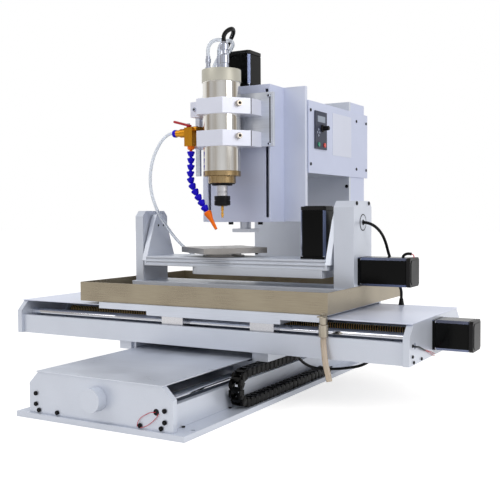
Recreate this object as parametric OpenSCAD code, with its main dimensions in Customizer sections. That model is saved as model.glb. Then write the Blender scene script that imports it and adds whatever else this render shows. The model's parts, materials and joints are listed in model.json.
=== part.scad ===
// Bench-top five-axis milling machine: moving table on a crosswise beam,
// tilting and turning work cradle, and a rear column with a hanging head.
// Millimetres. +Z is up, the front faces -Y, the operator's right is +X.
// The origin is the middle of the base plate's underside.

/* [Base] */
// Width of the floor plate
base_width = 366; // [340:1:420]
// Length of the floor plate, front to rear
base_length = 910; // [880:1:980]
// Thickness of the floor plate
base_plate_thickness = 10; // [8:0.5:16]
// Width of the guide box on the floor plate
box_width = 314; // [300:1:330]
// Height of the guide box above the floor plate
box_height = 74; // [70:1:84]
// Thickness of the end plates of box and beam
end_plate_thickness = 12; // [9:0.5:14]
// Corner cut of the end plates
end_plate_chamfer = 21; // [10:0.5:24]
// Height of the low side panels
side_panel_height = 41; // [30:0.5:44]
// Thickness of the low side panels
side_panel_thickness = 11; // [6:0.5:12]
// Thickness of the sheet covers
cover_thickness = 2; // [1:0.25:3]

/* [Guides] */
// Diameter of the round guide rails
rail_diameter = 20; // [16:1:22]
// Diameter of the ball screws
screw_diameter = 16; // [12:1:18]
// Running clearance on rails, screws and journals
running_fit = 0.05; // [0.02:0.01:0.09]
// Width across a motor's square body
motor_size = 56.4; // [50:0.2:60]
// Body length of the short motors
motor_length = 76; // [60:1:84]
// Body length of the long motors
long_motor_length = 108; // [90:1:120]

/* [Beam] */
// Length of the beam over its end plates
beam_length = 920; // [880:1:980]
// Depth of the beam, front to rear
beam_depth = 315; // [300:1:330]
// Height of the beam's front and rear panels
beam_panel_height = 40; // [34:0.5:44]
// Height of the beam's end plates
beam_end_height = 71; // [68:0.5:78]
// Distance of the beam behind the floor plate's front edge
beam_setback = 276; // [250:1:290]

/* [Table] */
// Length of the coolant tray
tray_length = 586; // [560:1:600]
// Depth of the coolant tray, front to rear
tray_depth = 399; // [380:1:410]
// Height of the coolant tray
tray_height = 41; // [30:0.5:50]
// Wall of the coolant tray
tray_wall = 2; // [1:0.25:3]
// Thickness of the trunnion posts
post_thickness = 21; // [16:0.5:24]
// Height of the tilt axis above the floor
tilt_axis_height = 345; // [338:1:352]
// Length of the cradle plate between its arms
cradle_length = 438; // [430:1:440]
// Width of the cradle plate
cradle_width = 114; // [104:1:118]
// Thickness of the cradle plate
cradle_thickness = 21; // [18:0.5:24]
// Thickness of the cradle arms
arm_thickness = 12; // [8:0.5:13]
// Side of the square rotary plate
rotary_plate_side = 145; // [120:1:150]
// Thickness of the rotary plate
rotary_plate_thickness = 12; // [8:0.5:16]
// Turn of the rotary plate as drawn, in degrees
rotary_turn = 53; // [0:1:90]

/* [Column and head] */
// Width of the column and of the head's mounting plate
column_width = 266; // [260:1:290]
// Height of the column
column_height = 625; // [615:1:660]
// Depth of the column, front to rear
column_depth = 97; // [90:1:104]
// Lowest point of the overhanging arm
arm_box_bottom = 453; // [440:1:470]
// Height of the overhanging arm
arm_box_height = 159; // [140:1:165]
// Width of the vertical slide housing
head_width = 162; // [160:1:180]
// Depth of the vertical slide housing
head_depth = 65; // [62:0.5:72]
// Lowest point of the vertical slide housing
head_bottom = 346; // [335:1:360]
// Highest point of the vertical slide housing
head_top = 641; // [630:1:660]
// Diameter of the spindle motor
spindle_diameter = 80; // [65:1:86]
// Length of the spindle motor's barrel
spindle_length = 224; // [200:1:230]
// Height of the spindle motor's lower end
spindle_bottom = 443; // [430:1:450]
// Reach of the slide housing in front of the column
head_reach = 310; // [300:1:320]
// Diameter of the end mill
tool_diameter = 6; // [3:0.5:7]

/* [Hidden] */
// --- fits and shared small sizes ---
gap = 0.5;
clear = 1;
bolt_head = 8;
bolt_rise = 2.5;
round_faces = 32;
small_faces = 16;

// --- levels and lines of the base ---
y0 = -base_length / 2;
floor_z = base_plate_thickness;
box_top = floor_z + box_height;
side_top = floor_z + side_panel_height;
end_setback = 7;
end_y = y0 + end_setback;
box_y = end_y + end_plate_thickness;
column_y = y0 + base_length - 20 - column_depth;
box_end_y = column_y - 10;
box_rear_y = box_end_y - end_plate_thickness;
side_x = box_width / 2 - side_panel_thickness - 11;
cover_half = box_width / 2 - end_plate_chamfer + 2;
rail_x = side_x - 23;
axis_z = floor_z + 40;

// --- the cable carrier ---
chain_w = 24;
chain_x = box_width / 2 + 9;
chain_pitch = 17;
chain_ear = 7.6;
chain_h = 2 * chain_ear;
chain_wall = 2.2;
chain_bend_links = 5;
chain_low_links = 21;
chain_high_links = 12;
chain_bend_y = y0 + beam_setback - 58;
chain_lift = 1.2;
chain_r = chain_pitch / 2 / sin(90 / chain_bend_links);
chain_top = floor_z + chain_lift + chain_h + 2 * chain_r;
plate_half = max(base_width / 2, chain_x + chain_w / 2 + 4);

// --- motor proportions ---
motor_flange = 4.8;
motor_pilot = 38;
motor_chamfer = 4.7;
journal_d = screw_diameter - 4;
coupling_d = 25;
bearing_d = 30;

// --- the beam and its carrier ---
beam_y = y0 + beam_setback;
beam_mid = beam_y + beam_depth / 2;
beam_half = beam_length / 2;
beam_in = beam_half - end_plate_thickness;
beam_z = 99;
beam_end_top = beam_z + beam_end_height;
beam_panel_top = beam_z + beam_panel_height;
beam_panel_t = 10;
panel_inset = 7;
beam_cover_half = beam_depth / 2 - end_plate_chamfer + 4;
beam_cover_top = beam_end_top + cover_thickness;
x_rail_offset = beam_depth / 2 - 41;
x_rail_z = beam_z + 43;
x_screw_z = beam_z + 39;
saddle_plate_z = box_top - 16;
saddle_plate_t = 12;
leg_in = cover_half + 2;
leg_out = leg_in + 9;
shoe_out = chain_x + chain_w / 2;
shoe_z = 82;
saddle_half = leg_in;
block_length = 50;
y_block_w = 42;
y_block_y = beam_depth / 2 - 55;

// --- the table ---
table_x = 33;
block_span = 104;
block_x = table_x + 25;
x_block_w = 52;
x_block_depth = 46;
carriage_half = 260;
carriage_skirt_y = beam_depth / 2 - 6;
skirt_t = 9;
under_top = beam_end_top - 5;
under_bottom = under_top - 8.6;
deck_z = beam_cover_top + 2;
deck_t = 4;
tray_z = deck_z + deck_t;
tray_x0 = table_x - 24 - tray_length / 2;
tray_x1 = tray_x0 + tray_length;
tray_y0 = beam_y + 13;
tray_top = tray_z + tray_height;

// --- the tilting cradle ---
tilt_y = beam_y + 0.6 * beam_depth;
turn_x = -27;
post_depth = 94;
post_base_top = 214;
post_base_t = 9;
cradle_x0 = -196;
cradle_x1 = cradle_x0 + cradle_length;
arm_gap = 3;
post_left_x1 = cradle_x0 - arm_thickness - arm_gap;
post_left_x0 = post_left_x1 - post_thickness;
post_right_x0 = cradle_x1 + arm_thickness + arm_gap;
post_right_x1 = post_right_x0 + 2 * post_thickness + 1;
post_left_top = tilt_axis_height + 27;
post_right_top = tilt_axis_height + 43;
post_chamfer = 12;
cradle_z1 = tilt_axis_height - 74;
cradle_z0 = cradle_z1 - cradle_thickness;
arm_foot_z = cradle_z0 + cradle_thickness / 2;
arm_top_half = 18;
arm_foot_half = 57;
tilt_shaft_d = 20;
belt_box_h = 16;
belt_box_z = cradle_z0 - belt_box_h;
turn_motor_x = cradle_x1 - 40;
turn_seat = 8.5;
rotary_z = cradle_z1 + turn_seat;
a_motor_z = tilt_axis_height - 96.5;

// --- the column, arm box and head ---
column_top_z = floor_z + column_height;
plate_t = 10;
column_rear_y = column_y + column_depth;
mount_plate_t = 11;
mount_y = head_y() + head_depth;
cover_sheet_t = 3;
head_x = head_width / 2;
head_wall = 4;
head_slot = 7;
head_cover_half = head_x - head_wall - head_slot;
head_screw_y = head_y() + 33;
z_rail_x = 45;
slide_t = 9;
slide_y = head_y() - 3 - slide_t;
slide_half = 95;
slide_z0 = 507;
slide_z1 = 622;
spindle_y = head_y() - 65;
spindle_top = spindle_bottom + spindle_length;
clamp_low_z = spindle_bottom + 62;
clamp_high_z = spindle_bottom + 129;
clamp_h = 33;
clamp_split = spindle_y + 10;
nose_h = 15;
nut_top = spindle_bottom - 41;
nut_h = 22;
tool_tip = nut_top - nut_h - 24;

function head_y() = column_y - head_reach;

// ---------------------------------------------------------------- helpers

// A block between two corners.
module block(x0, x1, ya, yb, z0, z1) {
  translate([x0, ya, z0]) cube([x1 - x0, yb - ya, z1 - z0]);
}

// A round bar along X, Y or Z that starts at its given end.
module bar_x(x, y, z, d, l, f = round_faces) {
  translate([x, y, z]) rotate([0, 90, 0]) cylinder(d = d, h = l, $fn = f);
}

module bar_y(x, y, z, d, l, f = round_faces) {
  translate([x, y, z]) rotate([-90, 0, 0]) cylinder(d = d, h = l, $fn = f);
}

module bar_z(x, y, z, d, l, f = round_faces) {
  translate([x, y, z]) cylinder(d = d, h = l, $fn = f);
}

// A plate in the XZ plane with its two top corners cut.
module cut_plate(width, height, cut, thickness) {
  half = width / 2;
  rotate([90, 0, 0]) translate([0, 0, -thickness]) linear_extrude(thickness)
    polygon([[-half, 0], [half, 0], [half, height - cut],
      [half - cut, height], [cut - half, height], [-half, height - cut]]);
}

// A plate in the YZ plane with its two top corners cut, thickness along +X.
module cut_plate_x(depth, height, cut, thickness) {
  rotate([0, 0, 90]) translate([0, -thickness, 0])
    cut_plate(depth, height, cut, thickness);
}

// A stepper motor with its flange at the origin and its body along +Z.
module motor(length) {
  half = motor_size / 2;
  inner = half - motor_chamfer;
  linear_extrude(motor_flange) square(motor_size, center = true);
  translate([0, 0, motor_flange]) linear_extrude(length - motor_flange)
    polygon([
      [-inner, -half], [inner, -half], [half, -inner], [half, inner],
      [inner, half], [-inner, half], [-half, inner], [-half, -inner]
    ]);
}

// A ball screw along +Z: thin journals at both ends, thick thread between.
module ball_screw(length, journal, tail) {
  cylinder(d = journal_d, h = journal, $fn = round_faces);
  translate([0, 0, journal])
    cylinder(d = screw_diameter, h = length - journal - tail, $fn = round_faces);
  translate([0, 0, length - tail])
    cylinder(d = journal_d, h = tail, $fn = round_faces);
}

// ---------------------------------------------------------------- base

module base_plate() {
  color([0.8, 0.82, 0.87]) block(chain_x - chain_w / 2, chain_x + chain_w / 2,
    chain_bend_y + (chain_low_links - 1) * chain_pitch,
    chain_bend_y + chain_low_links * chain_pitch, floor_z, floor_z + chain_lift);
  color([0.8, 0.82, 0.87]) difference() {
    block(-plate_half, plate_half, y0, y0 + base_length, 0, floor_z);
    for (x = [-1, 1], y = [-1, 1])
      translate([x * (plate_half - 10), y * (base_length / 2 - 40), -1])
        cylinder(d = 8.5, h = floor_z + 2, $fn = round_faces);
  }
}

module base_box() {
  color([0.76, 0.78, 0.85]) {
    difference() {
      translate([0, end_y, floor_z])
        cut_plate(box_width, box_height, end_plate_chamfer, end_plate_thickness);
      bar_y(0, end_y - 1, axis_z, bearing_d, end_plate_thickness + 2);
      bar_y(box_width / 2 - 33, end_y - 1, axis_z - 9, 11, end_plate_thickness + 2);
    }
    difference() {
      translate([0, box_rear_y, floor_z])
        cut_plate(box_width, box_height, end_plate_chamfer, end_plate_thickness);
      bar_y(0, box_rear_y - 1, axis_z, motor_pilot, end_plate_thickness + 2);
    }
    for (s = [-1, 1])
      translate([s * (side_x + side_panel_thickness / 2), 0, 0])
        block(-side_panel_thickness / 2, side_panel_thickness / 2,
          box_y, box_rear_y, floor_z, side_top);
  }
}

module base_cover() {
  color([0.84, 0.86, 0.91])
    block(-cover_half, cover_half, end_y - 2, box_end_y + 2,
      box_top, box_top + cover_thickness);
}

module guide_rails() {
  color([0.9, 0.91, 0.93]) {
    for (s = [-1, 1]) {
      bar_y(s * rail_x, box_y, axis_z, rail_diameter, box_rear_y - box_y);
      bar_z(s * z_rail_x, head_screw_y, head_bottom + plate_t, rail_diameter,
        head_top - head_bottom - 2 * plate_t);
    }
  }
}

// Front cap, rear block of the lengthwise screw and both ends of the upright.
module screw_bearings() {
  bore = journal_d + 2 * running_fit;
  color([0.8, 0.82, 0.86]) {
    difference() {
      union() {
        bar_y(0, end_y - bearing_reach, axis_z, 42, bearing_reach);
        bar_y(0, end_y, axis_z, bearing_d, end_plate_thickness);
      }
      bar_y(0, end_y - bearing_reach + 5, axis_z, bore,
        end_plate_thickness + bearing_reach);
    }
    difference() {
      block(-30, 30, y_bearing_y, y_bearing_y + 22, floor_z, axis_z + 18);
      bar_y(0, y_bearing_y - 1, axis_z, bore, 24);
    }
    difference() {
      union() {
        bar_z(0, head_screw_y, head_bottom - 15, bearing_d - 6, 15 + plate_t);
        block(-24, 24, head_screw_y - 18, head_screw_y + 18,
          head_bottom - 23, head_bottom - 15);
      }
      bar_z(0, head_screw_y, head_bottom - 19, bore, 40);
    }
  }
}

bearing_reach = 21;
y_bearing_y = box_rear_y - 60;

module axis_motors() {
  color([0.09, 0.09, 0.11]) {
    translate([0, box_end_y, axis_z]) rotate([-90, 0, 0]) motor(motor_length);
    translate([0, head_screw_y, head_top]) motor(motor_length + 4);
  }
}

module y_screw() {
  start = end_y - bearing_reach + 6;
  color([0.35, 0.27, 0.2]) {
    translate([0, start, axis_z]) rotate([-90, 0, 0])
      ball_screw(y_bearing_y + 30 - start, box_y + 3 - start, 33);
    bar_y(0, y_bearing_y + 25, axis_z, coupling_d, box_end_y - y_bearing_y - 26);
  }
}

// ---------------------------------------------------------------- saddle

module saddle() {
  color([0.8, 0.82, 0.88]) {
    difference() {
      union() {
        block(-saddle_half, saddle_half, beam_y + 20, beam_y + beam_depth - 20,
          saddle_plate_z, saddle_plate_z + saddle_plate_t);
        for (s = [0, 1]) mirror([s, 0, 0]) {
          block(leg_in, leg_out, beam_y + 20, beam_y + beam_depth - 20,
            saddle_plate_z, beam_z);
          block(saddle_half - 1, leg_in + 1, beam_y + 20, beam_y + beam_depth - 20,
            saddle_plate_z, saddle_plate_z + saddle_plate_t);
          block(leg_out - 1, shoe_out, beam_y + 14, beam_y + beam_depth - 14,
            shoe_z, beam_z);
        }
        block(chain_x - chain_w / 2 + 2, chain_x + chain_w / 2 - 2,
          chain_bend_y + (chain_high_links - 1) * chain_pitch,
          chain_bend_y + chain_high_links * chain_pitch, chain_top, shoe_z);
      }
      for (s = [-1, 1], y = [-70, 70])
        bar_z(s * rail_x, beam_mid + y, saddle_plate_z - 1, 6.6,
          saddle_plate_t + 2, small_faces);
    }
  }

  low = axis_z - 18;
  color([0.7, 0.72, 0.78]) {
    for (s = [-1, 1], t = [-1, 1]) difference() {
      block(s * rail_x - y_block_w / 2, s * rail_x + y_block_w / 2,
        beam_mid + t * y_block_y - block_length / 2,
        beam_mid + t * y_block_y + block_length / 2, low, saddle_plate_z);
      bar_y(s * rail_x, beam_mid + t * y_block_y - block_length / 2 - 1, axis_z,
        rail_diameter + 2 * running_fit, block_length + 2);
    }
    difference() {
      block(-26, 26, beam_mid - 24, beam_mid + 24, low, saddle_plate_z);
      bar_y(0, beam_mid - 25, axis_z, screw_diameter + 2 * running_fit, 50);
    }
  }
}

// The cable carrier: open links along the floor plate, round a bend and back.
// Each link has an outer ear ahead and an inner ear behind, on common pins.
// One ear: a plate from the link's middle to the round end about its pin.
module chain_ear_plate(x) {
  translate([x, 0, 0]) rotate([90, 0, 90]) linear_extrude(chain_wall) {
    translate([chain_pitch / 2, 0]) circle(r = chain_ear, $fn = 24);
    translate([-0.6, -chain_ear]) square([chain_pitch / 2 + 0.6, chain_h]);
  }
}

module chain_link() {
  outer = chain_w / 2 - chain_wall;
  inner = outer - chain_wall - 0.3;
  for (s = [0, 1]) mirror([s, 0, 0]) {
    chain_ear_plate(outer);
    mirror([0, 1, 0]) chain_ear_plate(inner);
    translate([inner - 0.8, -0.6, -chain_ear])
      cube([chain_wall + 2, 1.2, chain_h]);
  }
  for (s = [-1, 1])
    translate([0.3 - inner, -4, s * (chain_ear - 1) - 1])
      cube([2 * inner - 0.6, 8, 2]);
}

module y_chain() {
  mid_z = floor_z + chain_lift + chain_ear + chain_r;
  step = 180 / chain_bend_links;
  color([0.07, 0.07, 0.08]) {
    for (i = [0 : chain_low_links - 1])
      translate([chain_x, chain_bend_y + (i + 0.5) * chain_pitch, mid_z - chain_r])
        chain_link();
    for (i = [0 : chain_high_links - 1])
      translate([chain_x, chain_bend_y + (i + 0.5) * chain_pitch, mid_z + chain_r])
        rotate([180, 0, 0]) chain_link();
    for (i = [0 : chain_bend_links - 1])
      translate([chain_x, chain_bend_y, mid_z]) rotate([-(i + 0.5) * step, 0, 0])
        translate([0, 0, -chain_r * cos(step / 2)]) chain_link();
  }
}

// ---------------------------------------------------------------- beam

x_bearing_right = beam_in - 34;

// Both long panels, the floor between them and the beam screw's bearings.
module beam_panels() {
  color([0.8, 0.81, 0.87]) {
    for (s = [0, 1]) translate([0, beam_mid, 0]) mirror([0, s, 0])
      block(-beam_in, beam_in, panel_inset - beam_depth / 2,
        panel_inset + beam_panel_t - beam_depth / 2, beam_z, beam_panel_top);
    block(-beam_in, beam_in, beam_y + panel_inset + beam_panel_t,
      beam_y + beam_depth - panel_inset - beam_panel_t, beam_z, beam_z + 8);
    bar_z(beam_gland[0], beam_gland[1], beam_z - 8, 11, 8, small_faces);
    difference() {
      union() {
        block(x_bearing_right, x_bearing_right + 20, beam_mid - 26, beam_mid + 26,
          beam_z + 8, x_screw_z + 15);
        bar_x(-beam_in, beam_mid, x_screw_z, 34, 8);
      }
      bar_x(x_bearing_right - 1, beam_mid, x_screw_z, journal_d + 2 * running_fit, 22);
      bar_x(1.5 - beam_in, beam_mid, x_screw_z, journal_d + 2 * running_fit, 8);
    }
  }
}

module beam_ends() {
  color([0.78, 0.8, 0.86]) {
    translate([-beam_half, beam_mid, beam_z])
      cut_plate_x(beam_depth, beam_end_height, end_plate_chamfer,
        end_plate_thickness);
    difference() {
      translate([beam_in, beam_mid, beam_z])
        cut_plate_x(beam_depth, beam_end_height, end_plate_chamfer,
          end_plate_thickness);
      bar_x(beam_in - 1, beam_mid, x_screw_z, motor_pilot, end_plate_thickness + 2);
      bar_x(beam_in - 1, beam_y + 30, x_screw_z - 6, 11, end_plate_thickness + 2);
    }
  }
}

module beam_cover() {
  color([0.86, 0.88, 0.93])
    block(-beam_half, beam_half, beam_mid - beam_cover_half,
      beam_mid + beam_cover_half, beam_end_top, beam_cover_top);
  color([0.06, 0.06, 0.07]) translate([tilt_gland[0], tilt_gland[1], beam_cover_top])
    cylinder(d1 = 12, d2 = 7.4, h = boot_h, $fn = small_faces);
}

module x_rails() {
  color([0.9, 0.91, 0.93])
    for (s = [-1, 1])
      bar_x(-beam_in, beam_mid + s * x_rail_offset, x_rail_z, rail_diameter,
        2 * beam_in);
}

module x_motor() {
  color([0.09, 0.09, 0.11])
    translate([beam_half, beam_mid, x_screw_z]) rotate([0, 90, 0])
      motor(motor_length);
}

module x_screw() {
  start = 2.5 - beam_in;
  color([0.35, 0.27, 0.2]) {
    translate([start, beam_mid, x_screw_z]) rotate([0, 90, 0])
      ball_screw(x_bearing_right + 26 - start, 7, 28);
    bar_x(x_bearing_right + 22, beam_mid, x_screw_z, coupling_d,
      beam_half - x_bearing_right - 23);
  }
}

// ---------------------------------------------------------------- carriage

module carriage_plate() {
  color([0.78, 0.8, 0.86]) {
    block(table_x - carriage_half, table_x + carriage_half,
      beam_mid - carriage_skirt_y + skirt_t - 1,
      beam_mid + carriage_skirt_y - skirt_t + 1, deck_z, tray_z);
    for (s = [0, 1]) translate([0, beam_mid, 0]) mirror([0, s, 0]) {
      block(table_x - carriage_half, table_x + carriage_half, -carriage_skirt_y,
        skirt_t - carriage_skirt_y, under_top, tray_z);
      block(block_x - block_span - 56, block_x + block_span + 46,
        -carriage_skirt_y, skirt_t - carriage_skirt_y, under_bottom, under_top);
    }
    block(block_x - block_span - 56, block_x + block_span + 46,
      beam_mid - carriage_skirt_y + skirt_t, beam_mid + carriage_skirt_y - skirt_t,
      under_bottom, under_top);
  }
}

module carriage_blocks() {
  color([0.7, 0.72, 0.78]) {
    for (s = [-1, 1], t = [-1, 1]) difference() {
      block(block_x + s * block_span - x_block_w / 2,
        block_x + s * block_span + x_block_w / 2,
        beam_mid + t * x_rail_offset - x_block_depth / 2,
        beam_mid + t * x_rail_offset + x_block_depth / 2,
        x_rail_z - 20, under_bottom);
      bar_x(block_x + s * block_span - x_block_w / 2 - 1,
        beam_mid + t * x_rail_offset, x_rail_z,
        rail_diameter + 2 * running_fit, x_block_w + 2);
    }
    difference() {
      block(block_x - 24, block_x + 24, beam_mid - 26, beam_mid + 26,
        x_screw_z - 16, under_bottom);
      bar_x(block_x - 25, beam_mid, x_screw_z,
        screw_diameter + 2 * running_fit, 50);
    }
  }
}

module tray() {
  color([0.72, 0.7, 0.66]) difference() {
    block(tray_x0, tray_x1, tray_y0, tray_y0 + tray_depth, tray_z, tray_top);
    block(tray_x0 + tray_wall, tray_x1 - tray_wall, tray_y0 + tray_wall,
      tray_y0 + tray_depth - tray_wall, tray_z + tray_wall, tray_top + 1);
  }
}

drain_x = tray_x1 - 3;
drain_y = tray_y0 - 12;

module drain_fitting() {
  tab_x = table_x + carriage_half + clear;
  color([0.85, 0.87, 0.9]) {
    block(tab_x, tray_x1, drain_y - 9, tray_y0, tray_z - 2, tray_z);
    block(tab_x, tray_x1, tray_y0 - 2, tray_y0, tray_z - 2, tray_z + 12);
    bar_z(drain_x, drain_y, tray_z - 16, 15, 14.5);
    bar_z(drain_x, drain_y, tray_z - 38, 18, 22.5);
  }
}

// ---------------------------------------------------------------- trunnion

module trunnion_base() {
  base_floor = tray_z + tray_wall;
  color([0.84, 0.86, 0.92]) {
    block(post_left_x0 - 8, post_right_x1, tilt_y - post_depth / 2 - 4,
      tilt_y + post_depth / 2 + 4, post_base_top - post_base_t, post_base_top);
    for (x = [post_left_x0 + 20, (post_left_x0 + post_right_x1) / 2,
      post_right_x1 - 20])
      block(x - 14, x + 14, tilt_y - 40, tilt_y + 40,
        base_floor, post_base_top - post_base_t);
  }
}

module post_plate(x, top, thickness) {
  translate([x, tilt_y, post_base_top])
    cut_plate_x(post_depth, top - post_base_top, post_chamfer, thickness);
}

module trunnion_posts() {
  bore = tilt_shaft_d + 2 * running_fit;
  half = post_thickness;
  pocket_w = 44;
  color([0.82, 0.84, 0.9]) {
    difference() {
      post_plate(post_left_x0, post_left_top, post_thickness);
      bar_x(post_left_x0 + 6, tilt_y, tilt_axis_height, bore, post_thickness);
    }
    difference() {
      post_plate(post_right_x0, post_right_top, half);
      bar_x(post_right_x0 - 1, tilt_y, tilt_axis_height, bore, half + 2);
    }
    difference() {
      post_plate(post_right_x0 + half, post_right_top, half + 1);
      block(post_right_x0 + half - 1, post_right_x1 - 5,
        tilt_y - pocket_w / 2, tilt_y + pocket_w / 2,
        a_motor_z - 18, tilt_axis_height + 26);
      bar_x(post_right_x0, tilt_y, tilt_axis_height, 32.4, 2 * post_thickness + 2);
    }
  }
}

module tilt_motor() {
  color([0.09, 0.09, 0.11])
    translate([post_right_x1, tilt_y, a_motor_z]) rotate([0, 90, 0])
      motor(long_motor_length);
}

module cradle_arm() {
  rotate([90, 0, 90]) linear_extrude(arm_thickness)
    polygon([
      [-arm_foot_half, arm_foot_z], [arm_foot_half, arm_foot_z],
      [arm_top_half + 4, tilt_axis_height + 4],
      [arm_top_half - 5, tilt_axis_height + 19],
      [5 - arm_top_half, tilt_axis_height + 19],
      [-arm_top_half - 4, tilt_axis_height + 4]
    ]);
}

// Both arms with their shafts; the right shaft ends in the belt wheel and a
// hollow hub for the cable.
module cradle_arms() {
  color([0.78, 0.8, 0.85]) {
    translate([cradle_x0 - arm_thickness, tilt_y, 0]) cradle_arm();
    difference() {
      translate([cradle_x1, tilt_y, 0]) cradle_arm();
      bar_x(cradle_x1 - 1, tilt_y, tilt_axis_height, 9, arm_thickness + 2);
    }
  }
  color([0.78, 0.8, 0.85]) {
    bar_x(post_left_x0 + 7, tilt_y, tilt_axis_height, tilt_shaft_d,
      cradle_x0 - arm_thickness - post_left_x0 - 7);
    difference() {
      union() {
        bar_x(cradle_x1 + arm_thickness, tilt_y, tilt_axis_height, tilt_shaft_d,
          arm_gap + post_thickness + 2);
        bar_x(post_right_x0 + post_thickness + 1.5, tilt_y, tilt_axis_height,
          42, 12);
        bar_x(post_right_x0 + post_thickness + 13, tilt_y, tilt_axis_height,
          31.6, post_thickness - 11.5);
      }
      bar_x(cradle_x1, tilt_y, tilt_axis_height, 9, 90);
    }
  }
}

// The cradle's table: a slotted slab, stepped at both ends under the arms.
module cradle_plate() {
  half = cradle_width / 2;
  slot = 2.6;
  color([0.8, 0.81, 0.86]) difference() {
    union() {
      rotate([90, 0, 90]) translate([tilt_y, 0, cradle_x0])
        linear_extrude(cradle_length) polygon([
          [-half, cradle_z0], [half, cradle_z0],
          [half, cradle_z0 + 4], [half - slot, cradle_z0 + 5],
          [half - slot, cradle_z0 + 8], [half, cradle_z0 + 9],
          [half, cradle_z0 + 12], [half - slot, cradle_z0 + 13],
          [half - slot, cradle_z0 + 16], [half, cradle_z0 + 17],
          [half, cradle_z1], [-half, cradle_z1],
          [-half, cradle_z0 + 17], [slot - half, cradle_z0 + 16],
          [slot - half, cradle_z0 + 13], [-half, cradle_z0 + 12],
          [-half, cradle_z0 + 9], [slot - half, cradle_z0 + 8],
          [slot - half, cradle_z0 + 5], [-half, cradle_z0 + 4]
        ]);
      for (x = [cradle_x0 - 5, cradle_x1])
        block(x, x + 5, tilt_y - half, tilt_y + half, cradle_z0, arm_foot_z);
    }
    bar_z(turn_x, tilt_y, cradle_z0 - 1, 40, cradle_thickness + 2);
    bar_z(turn_motor_x, tilt_y, cradle_z0 - 1, motor_pilot - 6,
      cradle_thickness + 2);
  }
}

module belt_housing() {
  corner = 26;
  color([0.72, 0.66, 0.58])
    translate([0, tilt_y, belt_box_z]) linear_extrude(belt_box_h) hull() {
      for (s = [-1, 1]) translate([turn_x - 30, s * (cradle_width / 2 - corner)])
        circle(r = corner, $fn = round_faces);
      translate([cradle_x1 - 16, -cradle_width / 2]) square([10, cradle_width]);
    }
}

module turn_motor() {
  color([0.09, 0.09, 0.11])
    translate([turn_motor_x, tilt_y, cradle_z1]) motor(long_motor_length);
}

module turn_bearing() {
  color([0.2, 0.2, 0.21]) difference() {
    union() {
      bar_z(turn_x, tilt_y, cradle_z1, 92, 3);
      bar_z(turn_x, tilt_y, cradle_z1 + 3, 78, turn_seat - 3.5);
    }
    bar_z(turn_x, tilt_y, cradle_z1 - 1, 30 + 2 * running_fit, turn_seat + 2);
  }
}

// The square turning plate with its spigot and cross slots.
module rotary_plate() {
  half = rotary_plate_side / 2;
  color([0.8, 0.82, 0.86]) translate([turn_x, tilt_y, 0]) rotate(rotary_turn) {
    difference() {
      translate([-half, -half, rotary_z])
        cube([rotary_plate_side, rotary_plate_side, rotary_plate_thickness]);
      for (x = [-1, 1], y = [-1, 1])
        translate([x * 50, y * 50, rotary_z - 1])
          cylinder(d = 6.8, h = rotary_plate_thickness + 2, $fn = round_faces);
      translate([0, 0, rotary_z + rotary_plate_thickness - 3])
        cylinder(d = 20, h = 4, $fn = round_faces);
    }
    translate([0, 0, cradle_z1 - 8])
      cylinder(d = 30, h = rotary_z - cradle_z1 + 8.5, $fn = round_faces);
  }
}

// ---------------------------------------------------------------- column

module column_front() {
  half = column_width / 2;
  color([0.78, 0.8, 0.86]) difference() {
    block(-half, half, column_y, column_y + plate_t, floor_z, column_top_z);
    block(-36, 36, column_y - 1, column_y + plate_t + 1, floor_z - 1, axis_z + 34);
  }
}

module column_shell() {
  half = column_width / 2;
  color([0.76, 0.78, 0.85]) difference() {
    block(-half, half, column_y + plate_t, column_rear_y, floor_z, column_top_z);
    block(plate_t - half, half - plate_t, column_y, column_rear_y - plate_t,
      floor_z - 1, column_top_z - plate_t);
  }
}

module arm_box_plates() {
  half = column_width / 2;
  color([0.78, 0.8, 0.86]) {
    for (z = [arm_box_bottom, arm_box_bottom + arm_box_height - plate_t])
      block(-half, half, mount_y + mount_plate_t, column_y, z, z + plate_t);
  }
  color([0.06, 0.06, 0.07]) for (g = [[cable_gland, 13], [return_gland, 11.6],
    [feed_gland, 11.6]])
    bar_z(g[0][0], g[0][1], arm_box_bottom + arm_box_height, g[1], gland_h,
      small_faces);
}

module arm_box_covers() {
  half = column_width / 2;
  color([0.84, 0.87, 0.95])
    for (s = [0, 1]) mirror([s, 0, 0])
      block(half, half + cover_sheet_t, mount_y + mount_plate_t,
        column_rear_y + 16, arm_box_bottom, arm_box_bottom + arm_box_height);
}

module mount_plate() {
  half = column_width / 2;
  color([0.82, 0.84, 0.9])
    block(-half, half, mount_y, mount_y + mount_plate_t, head_bottom, head_top);
}

module head_housing() {
  color([0.76, 0.78, 0.83]) {
    for (s = [0, 1]) mirror([s, 0, 0])
      block(head_x - head_wall, head_x, head_y(), mount_y,
        head_bottom + plate_t, head_top - plate_t);
    difference() {
      block(-head_x, head_x, head_y(), mount_y, head_bottom, head_bottom + plate_t);
      bar_z(0, head_screw_y, head_bottom - 1, bearing_d - 6, plate_t + 2);
    }
    difference() {
      block(-head_x, head_x, head_y(), mount_y, head_top - plate_t, head_top);
      bar_z(0, head_screw_y, head_top - plate_t - 1, motor_pilot - 4, plate_t + 2);
    }
    block(-head_cover_half, head_cover_half, head_y(), head_y() + cover_sheet_t,
      head_bottom + plate_t, head_top - plate_t);
  }
}

keypad_y = mount_y + 39.5;
keypad_w = 62;
keypad_h = 84;
keypad_z = arm_box_bottom + 55;
keypad_x = column_width / 2 + cover_sheet_t;
keypad_t = 3;

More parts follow.
